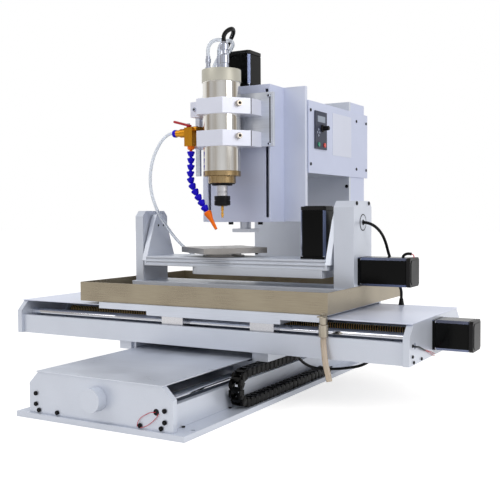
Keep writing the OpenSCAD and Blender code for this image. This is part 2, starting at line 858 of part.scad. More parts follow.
module keypad_case() {
  color([0.25, 0.27, 0.33]) difference() {
    block(keypad_x, keypad_x + keypad_t, keypad_y, keypad_y + keypad_w,
      keypad_z, keypad_z + keypad_h);
    block(keypad_x + keypad_t - 1, keypad_x + keypad_t + 1, keypad_y + 12,
      keypad_y + 52, keypad_z + 60, keypad_z + 74);
    for (y = [17, 48])
      bar_x(keypad_x - 1, keypad_y + y, keypad_z + 10, 11, keypad_t + 2);
    bar_x(keypad_x + 1, keypad_y + 36, keypad_z + 47, 6 + 2 * running_fit, 4);
  }
}

module keypad_knob() {
  color([0.03, 0.03, 0.03]) {
    bar_x(keypad_x + 1.2, keypad_y + 36, keypad_z + 47, 6, 3, small_faces);
    bar_x(keypad_x + keypad_t + 0.5, keypad_y + 36, keypad_z + 47, 20, 13);
  }
}

module push_button(y) {
  bar_x(keypad_x + 1.6, keypad_y + y, keypad_z + 10, 10.2, 3.4);
}

module start_button() {
  color([0.08, 0.5, 0.4]) push_button(17);
}

module stop_button() {
  color([0.85, 0.25, 0.2]) push_button(48);
}

// Black socket screws of the standing frame, as plain round heads.
module frame_screws() {
  front = end_y - bolt_rise;
  color([0.05, 0.05, 0.06]) {
    for (s = [-1, 1]) {
      for (z = [floor_z + 16, floor_z + 35])
        bar_y(s * (side_x + 6), front, z, bolt_head, bolt_rise, small_faces);
      for (x = [box_width / 2 - 66, side_x - 1])
        bar_y(s * x, front, floor_z + 5.5, bolt_head, bolt_rise, small_faces);
      for (y = [0 : 3])
        bar_z(s * (side_x + side_panel_thickness + 3), end_y + 41 + y * 150,
          floor_z, 6, 2, small_faces);
      for (z = [0 : 3])
        bar_y(s * (column_width / 2 - 6), column_y - bolt_rise, 94 + z * 168,
          bolt_head, bolt_rise, small_faces);
    }
    for (z = [20, 138]) {
      bar_x(keypad_x, mount_y + mount_plate_t + 10, arm_box_bottom + z,
        bolt_head - 1, bolt_rise - 1, small_faces);
      bar_x(keypad_x, column_y + 39, arm_box_bottom + z, bolt_head - 1,
        bolt_rise - 1, small_faces);
      bar_x(keypad_x, column_rear_y + 6, arm_box_bottom + z, bolt_head - 1,
        bolt_rise - 1, small_faces);
    }
    for (s = [-1, 1])
      bar_z(s * 38, head_screw_y, head_bottom - 6, 11, 6, small_faces);
  }
}

// ---------------------------------------------------------------- head

module z_screw() {
  start = head_bottom - 18.5;
  color([0.35, 0.27, 0.2]) {
    translate([0, head_screw_y, start])
      ball_screw(head_top - 2 - start, 36, 12);
    bar_z(0, head_screw_y, head_top - plate_t + clear, coupling_d,
      plate_t - 2 * clear);
  }
}

module z_slide_plate() {
  reach = head_slot - 2 * clear;
  color([0.8, 0.82, 0.88]) {
    block(-slide_half, slide_half, slide_y, slide_y + slide_t, slide_z0, slide_z1);
    for (s = [0, 1]) mirror([s, 0, 0])
      block(head_cover_half + clear, head_cover_half + clear + reach,
        slide_y + slide_t - 1, head_screw_y - 12, slide_z0 + 4, slide_z1 - 4);
    block(-slide_half - 3, 8 - slide_half, slide_y - 6, slide_y + 1,
      spindle_bottom + 5, clamp_high_z + 20);
  }

  half = head_cover_half + clear;
  low = slide_z0 + 4;
  color([0.7, 0.72, 0.78]) difference() {
    block(-half, half, head_screw_y - 20, head_screw_y + 20, low, slide_z1 - 4);
    for (s = [-1, 1])
      bar_z(s * z_rail_x, head_screw_y, low - 1,
        rail_diameter + 2 * running_fit, slide_z1 - slide_z0);
    bar_z(0, head_screw_y, low - 1, screw_diameter + 2 * running_fit,
      slide_z1 - slide_z0);
  }
}

// Front half with ears and rear half on the slide plate, bored together.
module spindle_clamp(z) {
  r = spindle_diameter / 2;
  front = spindle_y - r - 3;
  difference() {
    union() {
      translate([0, 0, z]) linear_extrude(clamp_h) polygon([
        [-36, front], [28, front], [66, clamp_split - 0.6],
        [-77, clamp_split - 0.6], [-77, clamp_split - 14],
        [-52, clamp_split - 14], [-46, front + 16]
      ]);
      block(-77, 67, clamp_split, slide_y, z, z + clamp_h);
    }
    bar_z(0, spindle_y, z - 1, spindle_diameter, clamp_h + 2, 48);
  }
}

module spindle_clamps() {
  color([0.8, 0.82, 0.9]) {
    spindle_clamp(clamp_low_z);
    spindle_clamp(clamp_high_z);
  }
}

module spindle_body() {
  r = spindle_diameter / 2;
  nose_z = spindle_bottom - nose_h;
  color([0.74, 0.7, 0.62]) translate([0, spindle_y, 0]) difference() {
    rotate_extrude($fn = 48) polygon([
      [0, nose_z - 4], [r * 0.55, nose_z - 4], [r * 0.55, nose_z],
      [r * 0.73, nose_z], [r * 0.73, spindle_bottom], [r, spindle_bottom],
      [r, spindle_top - 27], [r + 1.6, spindle_top - 27],
      [r + 1.6, spindle_top - 1.5], [r, spindle_top], [0, spindle_top]
    ]);
    translate([0, 0, nose_z - 5])
      cylinder(d = 24 + 2 * running_fit, h = 17, $fn = round_faces);
  }
}

// Two water fittings and the power connector on the cap.
module spindle_fittings() {
  color([0.72, 0.75, 0.82]) {
    for (p = water_ports) {
      bar_z(p[0], p[1], spindle_top, 13, 9, small_faces);
      bar_z(p[0], p[1], spindle_top + 9, 9.6, 9, small_faces);
      bar_z(p[0], p[1], spindle_top + 18, 12, 9, small_faces);
      bar_z(p[0], p[1], spindle_top + 27, 9.6, 6, small_faces);
    }
    translate([power_port[0], power_port[1], spindle_top])
      rotate_extrude($fn = round_faces) polygon([
        [0, 0], [9.5, 0], [9.5, 12], [11, 13], [11, 29], [9, 32], [8.2, 40],
        [10, 41], [10, 52], [6.4, 58], [0, 58]
      ]);
  }
}

module collet_nut() {
  flat = 35;
  low = nut_top - nut_h;
  color([0.12, 0.12, 0.13]) translate([0, spindle_y, 0]) difference() {
    rotate_extrude($fn = round_faces) polygon([
      [0, low], [flat / 2 - 2, low], [flat / 2, low + 2],
      [flat / 2, nut_top - 2], [flat / 2 - 2, nut_top], [12, nut_top],
      [12, spindle_bottom - nose_h + 10], [0, spindle_bottom - nose_h + 10]
    ]);
    translate([0, 0, low - 1]) cylinder(d = tool_diameter, h = 19, $fn = round_faces);
  }
}

module end_mill() {
  color([0.75, 0.6, 0.35]) {
    bar_z(0, spindle_y, tool_tip + 12, tool_diameter, nut_top - nut_h + 17.5 - tool_tip - 12);
    bar_z(0, spindle_y, tool_tip, tool_diameter * 0.7, 12);
  }
}

// ---------------------------------------------------------------- coolant

valve_x = -69.5;
valve_y = spindle_y - 16;
valve_z = spindle_bottom + 66;
port_z = spindle_bottom + 95;
port_x = valve_x - 42.5;
arm_z = spindle_bottom + 103;

// Jointed coolant hose: ten links at a fixed pitch, each with a skirt above
// round the ball of the link before, and turned from the vertical by its own
// angle. It ends in a tapered nozzle.
hose_pitch = 14.2;
hose_angles = [0, -2, -5, 1, 14, 30, 33, 34, 35, 36];
hose_top_x = valve_x + 1.2;
hose_top_z = spindle_bottom + 53.5;
nozzle_angle = 31;
ball_r = 4.6;
socket_r = ball_r + running_fit;
skirt_r = 8.2;
neck_r = 3.1;

function hose_x(i) =
  i == 0 ? hose_top_x : hose_x(i - 1) + hose_pitch * sin(hose_angles[i - 1]);
function hose_z(i) =
  i == 0 ? hose_top_z : hose_z(i - 1) - hose_pitch * cos(hose_angles[i - 1]);

// Brass ball valve on a square block, with a side port for the tube, an arm to
// the slide plate and the hose's first ball below.
module coolant_valve() {
  color([0.85, 0.58, 0.12]) {
    block(valve_x - 10, valve_x + 10, valve_y - 9, valve_y + 8,
      valve_z, valve_z + 40);
    bar_x(valve_x - 24, valve_y, port_z, 19, 15);
    bar_x(port_x, valve_y, port_z, 15, 19);
    bar_x(valve_x + 3, valve_y + 2, arm_z, 11, 14, small_faces);
    translate([hose_top_x, valve_y, hose_top_z]) {
      sphere(r = ball_r, $fn = round_faces);
      rotate_extrude($fn = round_faces) polygon([
        [0, 3], [neck_r, 3], [neck_r, 4.6], [6.4, 5.6], [7.6, 8], [7.6, 12.5],
        [0, 12.5]
      ]);
    }
    block(-62, -53, valve_y + 1, slide_y - 5, arm_z - 5, arm_z + 5);
    block(-slide_half - 2, -53, slide_y - 14, slide_y - 6, arm_z - 5, arm_z + 5);
  }
}

module valve_lever() {
  lever_z = valve_z + 40 + gap;
  color([0.72, 0.14, 0.17]) {
    bar_z(valve_x - 5, valve_y, lever_z, 8, 3, small_faces);
    translate([valve_x - 3, valve_y, lever_z + 2.6]) rotate([0, 15, 0])
      block(-41, 4, -5, 5, 0, 3);
  }
}

// One link: its skirt at the origin, its ball one pitch below.
module hose_link() {
  translate([0, 0, -hose_pitch]) sphere(r = ball_r, $fn = round_faces);
  difference() {
    rotate_extrude($fn = round_faces) polygon([
      [0, 1.6], [7.5, 1.6], [skirt_r, 0.8], [skirt_r, -1.4],
      [5.2, 5.6 - hose_pitch], [neck_r, 4.6 - hose_pitch],
      [neck_r, 2 - hose_pitch], [0, 2 - hose_pitch]
    ]);
    sphere(r = socket_r, $fn = round_faces);
    translate([0, 0, ball_r * 0.5])
      cylinder(r1 = socket_r * 0.87, r2 = socket_r + 1.4, h = 2, $fn = round_faces);
  }
}

module hose_links(first, last) {
  color([0.16, 0.08, 0.86]) for (i = [first : last])
    translate([hose_x(i), valve_y, hose_z(i)])
      rotate([0, -hose_angles[i], 0]) hose_link();
}

module hose_upper() {
  hose_links(0, 2);
}

module hose_middle() {
  hose_links(3, 5);
}

module hose_lower() {
  hose_links(6, 9);
}

module hose_nozzle() {
  color([1, 0.5, 0.12]) translate([hose_x(10), valve_y, hose_z(10)])
    rotate([0, -nozzle_angle, 0]) difference() {
      rotate_extrude($fn = round_faces) polygon([
        [0, 1.6], [7.5, 1.6], [skirt_r, 0.8], [skirt_r, -3], [7, -8],
        [4.4, -17], [3, -41], [0, -41]
      ]);
      sphere(r = socket_r, $fn = round_faces);
      translate([0, 0, ball_r * 0.5])
        cylinder(r1 = socket_r * 0.87, r2 = socket_r + 1.4, h = 2, $fn = round_faces);
    }
}

// ---------------------------------------------------------------- cords

// Each soft line is one swept solid. Its points are measured from the floor
// plate's front edge, and its two ends are drawn to the parts that hold them.
power_port = [9, spindle_y - 4];
water_ports = [[-33, spindle_y], [-13, spindle_y + 12]];
gland_h = 8;
boot_h = 14;
gland_y = mount_y + 32;
cable_gland = [-60, gland_y];
return_gland = [-74, gland_y];
feed_gland = [-88, gland_y];
tilt_gland = [post_right_x1 + 45, beam_y + beam_depth - 25];
beam_gland = [post_right_x1 + 7, beam_y + 232];
coil_at = [-80, column_y - 51];
coil_r = 36.5;
coolant_d = 7;
coil_z = box_top + cover_thickness;

cable_points = [
  [9, 414, 725], [9, 414, 736], [12, 419, 746], [16, 429, 753],
  [15, 441, 755], [9, 453, 751], [-2, 464, 744], [-16, 474, 734],
  [-31, 485, 720], [-44, 500, 705], [-54, 518, 687], [-60, 538, 668],
  [-61, 556, 652], [-60, 571, 640], [-60, 580, 629], [-60, 580, 620]
];
return_points = [
  [-13, 430, 700], [-13, 430, 712], [-10, 432, 723], [-3, 439, 731],
  [3, 449, 734], [3, 461, 730], [-6, 471, 723], [-22, 478, 712],
  [-40, 486, 701], [-57, 500, 690], [-67, 518, 676], [-73, 538, 662],
  [-75, 556, 650], [-74, 571, 640], [-74, 580, 629], [-74, 580, 620]
];
feed_points = [
  [-33, 418, 700], [-33, 418, 713], [-31, 420, 723], [-25, 424, 731],
  [-16, 432, 735], [-11, 443, 734], [-14, 455, 729], [-24, 465, 720],
  [-39, 474, 709], [-55, 484, 699], [-70, 499, 687], [-80, 517, 674],
  [-87, 537, 660], [-89, 555, 649], [-88, 571, 639], [-88, 580, 629],
  [-88, 580, 620]
];
coolant_points = [
  [-112, 402, 538], [-124, 402, 538], [-141, 402, 528], [-156, 402, 510],
  [-169, 403, 487], [-178, 405, 460], [-182, 409, 430], [-181, 416, 400],
  [-177, 431, 367], [-172, 458, 334], [-169, 492, 304], [-165, 526, 281],
  [-157, 562, 260], [-144, 602, 244], [-128, 642, 233], [-115, 678, 228],
  [-107, 710, 227], [-107, 737, 216], [-112, 756, 193], [-116, 763, 164],
  [-117, 761, 136], [-117, 752, 116], [-116, 746, 107], [-116, 746, 100]
];
tilt_points = [
  [291, 465, 345], [303, 465, 345], [316, 466, 342], [327, 471, 334],
  [335, 479, 321], [339, 489, 304], [341, 500, 283], [343, 513, 262],
  [344, 528, 241], [345, 544, 222], [346, 557, 209], [345, 566, 199],
  [345, 566, 186]
];
drain_points = [
  [299, 277, 140], [299, 277, 128], [302, 274, 111], [306, 271, 92],
  [311, 269, 76], [315, 267, 62]
];
beam_points = [
  [166, 422, 74], [166, 440, 68], [168, 462, 53], [175, 484, 41],
  [190, 500, 35], [219, 507, 36], [250, 508, 41], [277, 508, 48],
  [297, 508, 60], [307, 508, 79], [307, 508, 91]
];

function unit(v) = v / norm(v);
function heading(p, i) = unit(p[min(i + 1, len(p) - 1)] - p[max(i - 1, 0)]);
function from_front(p) = [for (q = p) [q[0], y0 + q[1], q[2]]];

// The same line, eased so that it starts and ends at the given places.
function drawn(p, first, last) =
  let (q = from_front(p), n = len(p) - 1)
  [for (i = [0 : n])
    q[i] + (1 - i / n) * (first - q[0]) + (i / n) * (last - q[n])];

// A round solid along a line. The side vector is never along the line.
module cord(p, d, side, sides = 8) {
  rings = [
    for (i = [0 : len(p) - 1])
      let (t = heading(p, i), a = unit(cross(t, side)), b = cross(t, a))
      for (k = [0 : sides - 1])
        p[i] + d / 2 * (cos(360 * k / sides) * a + sin(360 * k / sides) * b)
  ];
  last = (len(p) - 1) * sides;
  walls = [
    for (i = [0 : len(p) - 2], k = [0 : sides - 1])
      let (m = i * sides, l = (k + 1) % sides)
      each [[m + k, m + sides + k, m + sides + l], [m + k, m + sides + l, m + l]]
  ];
  caps = [
    [for (k = [0 : sides - 1]) k],
    [for (k = [sides - 1 : -1 : 0]) last + k]
  ];
  polyhedron(points = rings, faces = concat(walls, caps));
}

module spindle_cable() {
  color([0.05, 0.05, 0.06])
    cord(drawn(cable_points, [power_port[0], power_port[1], spindle_top + 58],
      [cable_gland[0], cable_gland[1], arm_box_bottom + arm_box_height + gland_h]),
      9.5, [1, 0.4, 0], 10);
}

module water_return() {
  color([0.85, 0.88, 0.92])
    cord(drawn(return_points, [water_ports[1][0], water_ports[1][1], spindle_top + 33],
      [return_gland[0], return_gland[1],
        arm_box_bottom + arm_box_height + gland_h]), 8, [1, 0.4, 0]);
}

module water_feed() {
  color([0.85, 0.88, 0.92])
    cord(drawn(feed_points, [water_ports[0][0], water_ports[0][1], spindle_top + 33],
      [feed_gland[0], feed_gland[1],
        arm_box_bottom + arm_box_height + gland_h]), 8, [1, 0.4, 0]);
}

module coolant_tube() {
  color([0.85, 0.88, 0.92])
    cord(drawn(coolant_points, [port_x, valve_y, port_z],
      [coil_at[0] - coil_r, coil_at[1] + 4, coil_z + 2 * coolant_d]),
      coolant_d, [1, -1, 0]);
}

// The tube's spare length, wound behind the table, with its end fitting.
module coolant_coil() {
  color([0.85, 0.88, 0.92]) translate([coil_at[0], coil_at[1], coil_z]) {
    rotate_extrude($fn = round_faces) translate([coil_r - 1.5 * coolant_d, 0])
      polygon([
        [2, 0], [3 * coolant_d - 2, 0], [3 * coolant_d, 2],
        [3 * coolant_d, 2 * coolant_d - 2], [3 * coolant_d - 2, 2 * coolant_d],
        [2, 2 * coolant_d], [0, 2 * coolant_d - 2], [0, 2]
      ]);
    bar_x(-14, 0, 6, 12, 28, small_faces);
  }
}

module drain_hose() {
  color([0.85, 0.84, 0.78])
    cord(drawn(drain_points, [drain_x, drain_y, tray_z - 38],
      [drain_x + 16, drain_y - 10, tray_z - 116]), 11, [0, 1, 0]);
}

module tilt_cable() {
  color([0.05, 0.05, 0.06])
    cord(drawn(tilt_points, [post_right_x1 - 9, tilt_y, tilt_axis_height],
      [tilt_gland[0], tilt_gland[1], beam_cover_top + boot_h]), 6, [0.6, 0.4, 1]);
}

module beam_cable() {
  color([0.05, 0.05, 0.06])
    cord(drawn(beam_points,
      [chain_x, chain_bend_y + chain_high_links * chain_pitch, chain_top - chain_ear],
      [beam_gland[0], beam_gland[1], beam_z - 8]), 6, [0.3, -1, 0]);
}

// ---------------------------------------------------------------- drawing

base_plate();
base_box();
base_cover();
guide_rails();
screw_bearings();
axis_motors();
y_screw();
saddle();
y_chain();
beam_panels();
beam_ends();
beam_cover();
x_rails();
x_motor();
x_screw();
carriage_plate();
carriage_blocks();
tray();
drain_fitting();
trunnion_base();
trunnion_posts();
tilt_motor();
cradle_arms();
cradle_plate();
belt_housing();
turn_motor();
turn_bearing();
rotary_plate();
column_front();
column_shell();
arm_box_plates();
arm_box_covers();
mount_plate();
head_housing();
keypad_case();
frame_screws();
z_screw();
z_slide_plate();
spindle_clamps();
spindle_body();
spindle_fittings();
collet_nut();
end_mill();
coolant_valve();
valve_lever();
hose_upper();
hose_middle();
hose_lower();
hose_nozzle();
keypad_knob();
start_button();
stop_button();
spindle_cable();
water_feed();
water_return();
coolant_tube();
coolant_coil();
drain_hose();
tilt_cable();
beam_cable();
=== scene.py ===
"""Studio model of a five-axis bench milling machine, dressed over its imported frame.

The frame is in metres: +Z up, the front towards -Y. New pieces are laid out in
millimetres, with Y counted from the front edge of the floor plate, and Surface.piece
turns them into the frame's metres.
"""

from __future__ import annotations

import json
import logging
import math
from collections.abc import Iterator
from contextlib import contextmanager
from dataclasses import dataclass, field
from enum import Enum

import bmesh
import bpy
import numpy as np
from mathutils import Matrix, Vector

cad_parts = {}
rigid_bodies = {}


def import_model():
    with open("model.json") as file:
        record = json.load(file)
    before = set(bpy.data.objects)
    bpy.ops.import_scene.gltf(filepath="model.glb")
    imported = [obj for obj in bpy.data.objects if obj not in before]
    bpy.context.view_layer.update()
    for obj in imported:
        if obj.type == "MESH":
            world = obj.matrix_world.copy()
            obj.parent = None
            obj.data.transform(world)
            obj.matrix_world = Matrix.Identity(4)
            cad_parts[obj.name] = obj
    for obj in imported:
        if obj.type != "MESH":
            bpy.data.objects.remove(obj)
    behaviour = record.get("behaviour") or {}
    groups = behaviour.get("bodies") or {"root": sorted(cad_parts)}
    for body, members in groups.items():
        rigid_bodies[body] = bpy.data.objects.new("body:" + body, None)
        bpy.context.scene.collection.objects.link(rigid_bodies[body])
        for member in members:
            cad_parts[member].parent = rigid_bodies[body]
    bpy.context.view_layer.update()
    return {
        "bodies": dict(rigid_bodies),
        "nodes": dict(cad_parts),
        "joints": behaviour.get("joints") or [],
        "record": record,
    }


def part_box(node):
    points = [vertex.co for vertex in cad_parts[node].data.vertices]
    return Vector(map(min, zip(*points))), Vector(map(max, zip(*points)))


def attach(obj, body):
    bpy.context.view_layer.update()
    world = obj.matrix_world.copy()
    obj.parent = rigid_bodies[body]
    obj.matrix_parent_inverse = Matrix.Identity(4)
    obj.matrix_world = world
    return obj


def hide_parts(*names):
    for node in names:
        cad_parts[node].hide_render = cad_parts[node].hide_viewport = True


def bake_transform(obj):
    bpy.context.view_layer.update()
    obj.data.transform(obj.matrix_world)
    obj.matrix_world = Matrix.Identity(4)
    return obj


LOG = logging.getLogger("mill")
Rgb = tuple[float, float, float]
Point = tuple[float, float, float]
FRONT = 455.0  # the origin's Y, counted from the floor plate's front edge
CREASE = math.radians(32.0)  # faces that meet at less than this look round
WELD = 2e-6  # points of a mesh that lie nearer than this are one, in metres
MOTTLE = 0.09  # size of the slow change of colour in every finish, in metres
CLAMPS = (505.0, 572.0)  # undersides of the spindle's two clamps
SIDES = (-1, 1)
X, Y, Z = np.eye(3)


def linear(colour: Rgb) -> tuple[float, float, float, float]:
    """Turns a display colour into the linear one that a shader socket takes.

    Args:
        colour: Red, green and blue as displayed.

    Returns:
        Red, green, blue and 1, linear.
    """
    c = np.asarray(colour, float)
    c = np.where(c <= 0.04045, c / 12.92, ((c + 0.055) / 1.055) ** 2.4)
    return (*map(float, c), 1.0)


def in_frame(points: np.ndarray) -> np.ndarray:
    """Turns drawing millimetres into the frame's metres: (x, y - 455, z) / 1000."""
    return (np.asarray(points, float) - (0.0, FRONT, 0.0)) / 1000.0


def box(node: str) -> tuple[np.ndarray, np.ndarray]:
    """Gives a CAD node's lowest and highest corners in drawing millimetres."""
    low, high = (np.array(corner, float) * 1000.0 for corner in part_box(node))
    return low + (0, FRONT, 0), high + (0, FRONT, 0)


def unit(vector: np.ndarray) -> np.ndarray:
    """Scales vectors on the last axis to length 1."""
    vector = np.asarray(vector, float)
    return vector / np.linalg.norm(vector, axis=-1, keepdims=True)


def across(axis: np.ndarray) -> tuple[np.ndarray, np.ndarray]:
    """Finds unit vectors a and b across an axis, so that a x b points along it."""
    other = X if abs(axis[0]) < 0.8 else Y
    a = unit(np.cross(other, axis))
    return a, np.cross(axis, a)


def ease(t: np.ndarray, start: float, end: float) -> np.ndarray:
    """Rises smoothly from 0 to 1: s = clip((t - start) / (end - start)), 3s^2 - 2s^3.

    Args:
        t: Where it is asked.
        start: Where the rise begins.
        end: Where the rise ends.

    Returns:
        The rise at each t.
    """
    s = np.clip((t - start) / (end - start), 0.0, 1.0)
    return s * s * (3.0 - 2.0 * s)


def smooth(points: np.ndarray, step: float) -> np.ndarray:
    """Carries a smooth curve through points, in even steps.

    Between points i and i + 1 the curve is the cubic with the slopes
    m_i = (P_(i+1) - P_(i-1)) / 2, the Catmull-Rom curve.

    Args:
        points: The points, one a row.
        step: The length of a step.

    Returns:
        The points of the curve, the first and last of them kept.
    """
    p = np.asarray(points, float)
    slope = np.gradient(p, axis=0)
    s = np.linspace(0.0, 1.0, 12, endpoint=False)[None, :, None]
    a, b, m, n = (q[:, None, :] for q in (p[:-1], p[1:], slope[:-1], slope[1:]))
    curve = ((2 * s**3 - 3 * s**2 + 1) * a + (s**3 - 2 * s**2 + s) * m
             + (3 * s**2 - 2 * s**3) * b + (s**3 - s**2) * n)
    curve = np.vstack([curve.reshape(-1, 3), p[-1:]])
    run = np.append(0.0, np.linalg.norm(np.diff(curve, axis=0), axis=1).cumsum())
    even = np.linspace(0.0, run[-1], max(3, int(run[-1] / step) + 1))
    return np.stack([np.interp(even, run, curve[:, k]) for k in range(3)], axis=1)


# ---- node trees


def fill(node: bpy.types.Node, inputs: dict) -> bpy.types.Node:
    """Gives a node's inputs a constant each, or a link where the value is a socket.

    Args:
        node: The node.
        inputs: Constants and output sockets by the input's name or place.

    Returns:
        The node.
    """
    for name, value in inputs.items():
        if isinstance(value, bpy.types.NodeSocket):
            node.id_data.links.new(value, node.inputs[name])
        else:
            node.inputs[name].default_value = value
    return node


def add(tree: bpy.types.NodeTree, kind: str, inputs: dict | None = None,
        **settings: str) -> bpy.types.Node:
    """Adds a node to a tree.

    Args:
        tree: The tree.
        kind: Its type, without "ShaderNode".
        inputs: What its inputs get, as in fill.
        settings: Its own settings.

    Returns:
        The node.
    """
    node = tree.nodes.new("ShaderNode" + kind)
    for name, value in settings.items():
        setattr(node, name, value)
    return fill(node, inputs or {})


def ramp(tree: bpy.types.NodeTree, value: bpy.types.NodeSocket,
         stops: list[tuple[float, tuple[float, ...]]]) -> bpy.types.NodeSocket:
    """Adds a colour ramp.

    Args:
        tree: The tree.
        value: What the ramp reads.
        stops: Its places and their linear colours.

    Returns:
        The socket of its colour.
    """
    node = add(tree, "ValToRGB", {0: value})
    while len(node.color_ramp.elements) < len(stops):
        node.color_ramp.elements.new(0.5)
    for element, (at, colour) in zip(node.color_ramp.elements, stops):
        element.position = at
        element.color = colour
    return node.outputs[0]


# ---- finishes


class Grain(Enum):
    """How a surface was worked, as the stretch of its noise along X, Y and Z."""

    BLASTED = (1.0, 1.0, 1.0)
    BRUSHED_X = (0.02, 1.0, 1.0)
    BRUSHED_Z = (1.0, 1.0, 0.02)


BUILT: dict[str, bpy.types.Material] = {}


@dataclass(frozen=True)
class Finish:
    """One finish of the machine, built once as a node material.

    Attributes:
        name: The material's name.
        colour: Main colour as displayed.
        shade: Second colour, which a slow mottle and the grain mix in.
        metallic: Metal share of the surface.
        roughness: Middle roughness.
        spread: How far the grain moves the roughness.
        grain: The way the surface was worked.
        grain_size: Size of one grain in metres.
        relief: Depth of the grain in metres.
        clear: Share of light that passes through.
        specular: Specular level.
        raised_highlight: Colour painted on the raised places as a highlight, or None
            where none is painted.
    """

    name: str
    colour: Rgb
    shade: Rgb
    metallic: float = 0.0
    roughness: float = 0.45
    spread: float = 0.08
    grain: Grain = Grain.BLASTED
    grain_size: float = 0.0006
    relief: float = 0.00001
    clear: float = 0.0
    specular: float = 0.5
    raised_highlight: Rgb | None = None

    def material(self) -> bpy.types.Material:
        """Builds the node material, or returns the one built before.

        The colour and the roughness follow 0.45 * grain + 0.55 * mottle, two noises
        of the object's own coordinates.

        Returns:
            The material of this finish.
        """
        if self.name in BUILT:
            return BUILT[self.name]
        made = bpy.data.materials.new(self.name)
        BUILT[self.name] = made
        made.use_nodes = True
        tree = made.node_tree
        place = add(tree, "TexCoord").outputs["Object"]
        turned = add(tree, "Mapping", {"Vector": place, "Scale": self.grain.value})
        fine = add(tree, "TexNoise", {"Vector": turned.outputs["Vector"],
                                      "Scale": 1 / self.grain_size, "Detail": 3})
        slow = add(tree, "TexNoise", {"Vector": place, "Scale": 1 / MOTTLE,
                                      "Detail": 2})
        both = add(tree, "Math", {0: slow.outputs[0], 1: 0.55, 2: 0.0},
                   operation="MULTIPLY_ADD")
        both = add(tree, "Math", {0: fine.outputs[0], 1: 0.45, 2: both.outputs[0]},
                   operation="MULTIPLY_ADD").outputs[0]
        colour = ramp(tree, both, [(0.34, linear(self.shade)),
                                   (0.62, linear(self.colour))])
        # Painted highlight: the highlight colour is mixed in where the raised attribute
        # is high.
        if self.raised_highlight is not None:
            raised = add(tree, "Attribute", attribute_name="raised").outputs["Fac"]
            colour = add(tree, "Mix", {"Factor": raised, "A": colour,
                                       "B": linear(self.raised_highlight)},
                         data_type="RGBA").outputs["Result"]
        rough = add(tree, "MapRange", {
            "Value": both, "From Min": 0.3, "From Max": 0.7,
            "To Min": max(0.02, self.roughness - self.spread),
            "To Max": min(1.0, self.roughness + self.spread)})
        bump = add(tree, "Bump", {"Strength": 0.5, "Distance": self.relief,
                                  "Height": fine.outputs[0]})
        shader = fill(tree.nodes["Principled BSDF"], {
            "Base Color": colour, "Roughness": rough.outputs[0],
            "Normal": bump.outputs[0], "Metallic": self.metallic,
            "Specular IOR Level": self.specular, "Transmission Weight": self.clear})
        if self.clear:
            shader.inputs["IOR"].default_value = 1.42
        return made


ANODISED = Finish("satin_anodised", (0.84, 0.86, 0.90), (0.80, 0.82, 0.86), 0.35, 0.36)
SHEET = Finish("pale_sheet", (0.86, 0.88, 0.94), (0.83, 0.85, 0.91), 0.25, 0.34)
GUARD = Finish("side_sheet", (0.82, 0.845, 0.93), (0.79, 0.815, 0.905), 0.15, 0.42)
PALE = Finish("bare_sheet", (0.87, 0.885, 0.94), (0.85, 0.865, 0.92), 0.1, 0.5)
BRUSHED = Finish("brushed_plate", (0.84, 0.86, 0.90), (0.77, 0.79, 0.83), 0.6, 0.34,
                 grain=Grain.BRUSHED_X, grain_size=0.0012)
TRAY = Finish("brushed_tray", (0.63, 0.59, 0.51), (0.54, 0.50, 0.43), 0.8, 0.30,
              grain=Grain.BRUSHED_X, grain_size=0.001)
CHROME = Finish("polished_rail", (0.90, 0.91, 0.93), (0.86, 0.87, 0.90), 1.0, 0.10,
                spread=0.03, grain_size=0.002, relief=0.000002)
# Dark oiled screw; the golden colour on its crests is a painted highlight.
THREAD = Finish("oiled_screw", (0.22, 0.14, 0.08), (0.13, 0.08, 0.05), 0.35, 0.34,
                raised_highlight=(1.0, 0.84, 0.54))
MOTOR = Finish("gloss_black", (0.012, 0.014, 0.014), (0.004, 0.006, 0.006), 0.0, 0.2,
               specular=0.10)
CHAIN = Finish("chain_plastic", (0.010, 0.010, 0.012), (0.005, 0.005, 0.006), 0.0, 0.42,
               specular=0.10)
# Light bluish metal on the motors' chamfers: a painted highlight of the sky.
CHAMFER_HIGHLIGHT = Finish("painted_chamfer_highlight", (0.50, 0.54, 0.66), (0.40, 0.43, 0.53), 0.9, 0.22)
MOTOR_CAP = Finish("dark_cast_cap", (0.06, 0.06, 0.063), (0.03, 0.03, 0.034), 0.3, 0.4,
                   specular=0.3)
BLACK = Finish("matt_black", (0.035, 0.035, 0.04), (0.02, 0.02, 0.025), 0.0, 0.45,
               specular=0.2)
RUBBER = Finish("black_rubber", (0.03, 0.03, 0.035), (0.015, 0.015, 0.02), 0.0, 0.42,
                specular=0.2)
BLACKENED = Finish("blackened_steel", (0.08, 0.08, 0.09), (0.04, 0.04, 0.05), 0.5, 0.34,
                   specular=0.3)
BARREL = Finish("polished_barrel", (0.89, 0.88, 0.86), (0.85, 0.84, 0.81), 1.0, 0.12,
                spread=0.02, grain=Grain.BRUSHED_Z, grain_size=0.0009,
                relief=0.000002)
CAP = Finish("champagne_cap", (0.78, 0.77, 0.72), (0.73, 0.72, 0.67), 0.5, 0.50)
NOSE = Finish("warm_nose", (0.66, 0.57, 0.42), (0.55, 0.46, 0.33), 0.95, 0.22,
              grain=Grain.BRUSHED_Z)
BLUE = Finish("deep_blue", (0.13, 0.05, 0.84), (0.09, 0.03, 0.74), 0.0, 0.36,
              specular=0.12)
ORANGE = Finish("bright_orange", (1.0, 0.48, 0.09), (0.94, 0.40, 0.06), 0.0, 0.36,
                specular=0.15)
BRASS = Finish("plain_brass", (0.80, 0.56, 0.12), (0.68, 0.42, 0.06), 0.8, 0.26)
BRIGHT_SCREW = Finish("tinted_screw", (0.80, 0.77, 0.73), (0.70, 0.66, 0.60), 0.85,
                      0.28)
RED = Finish("lever_red", (0.74, 0.14, 0.18), (0.62, 0.10, 0.14), 0.0, 0.28,
             specular=0.4)
KEYPAD = Finish("slate_panel", (0.21, 0.23, 0.30), (0.18, 0.20, 0.26), 0.0, 0.45,
                specular=0.3)
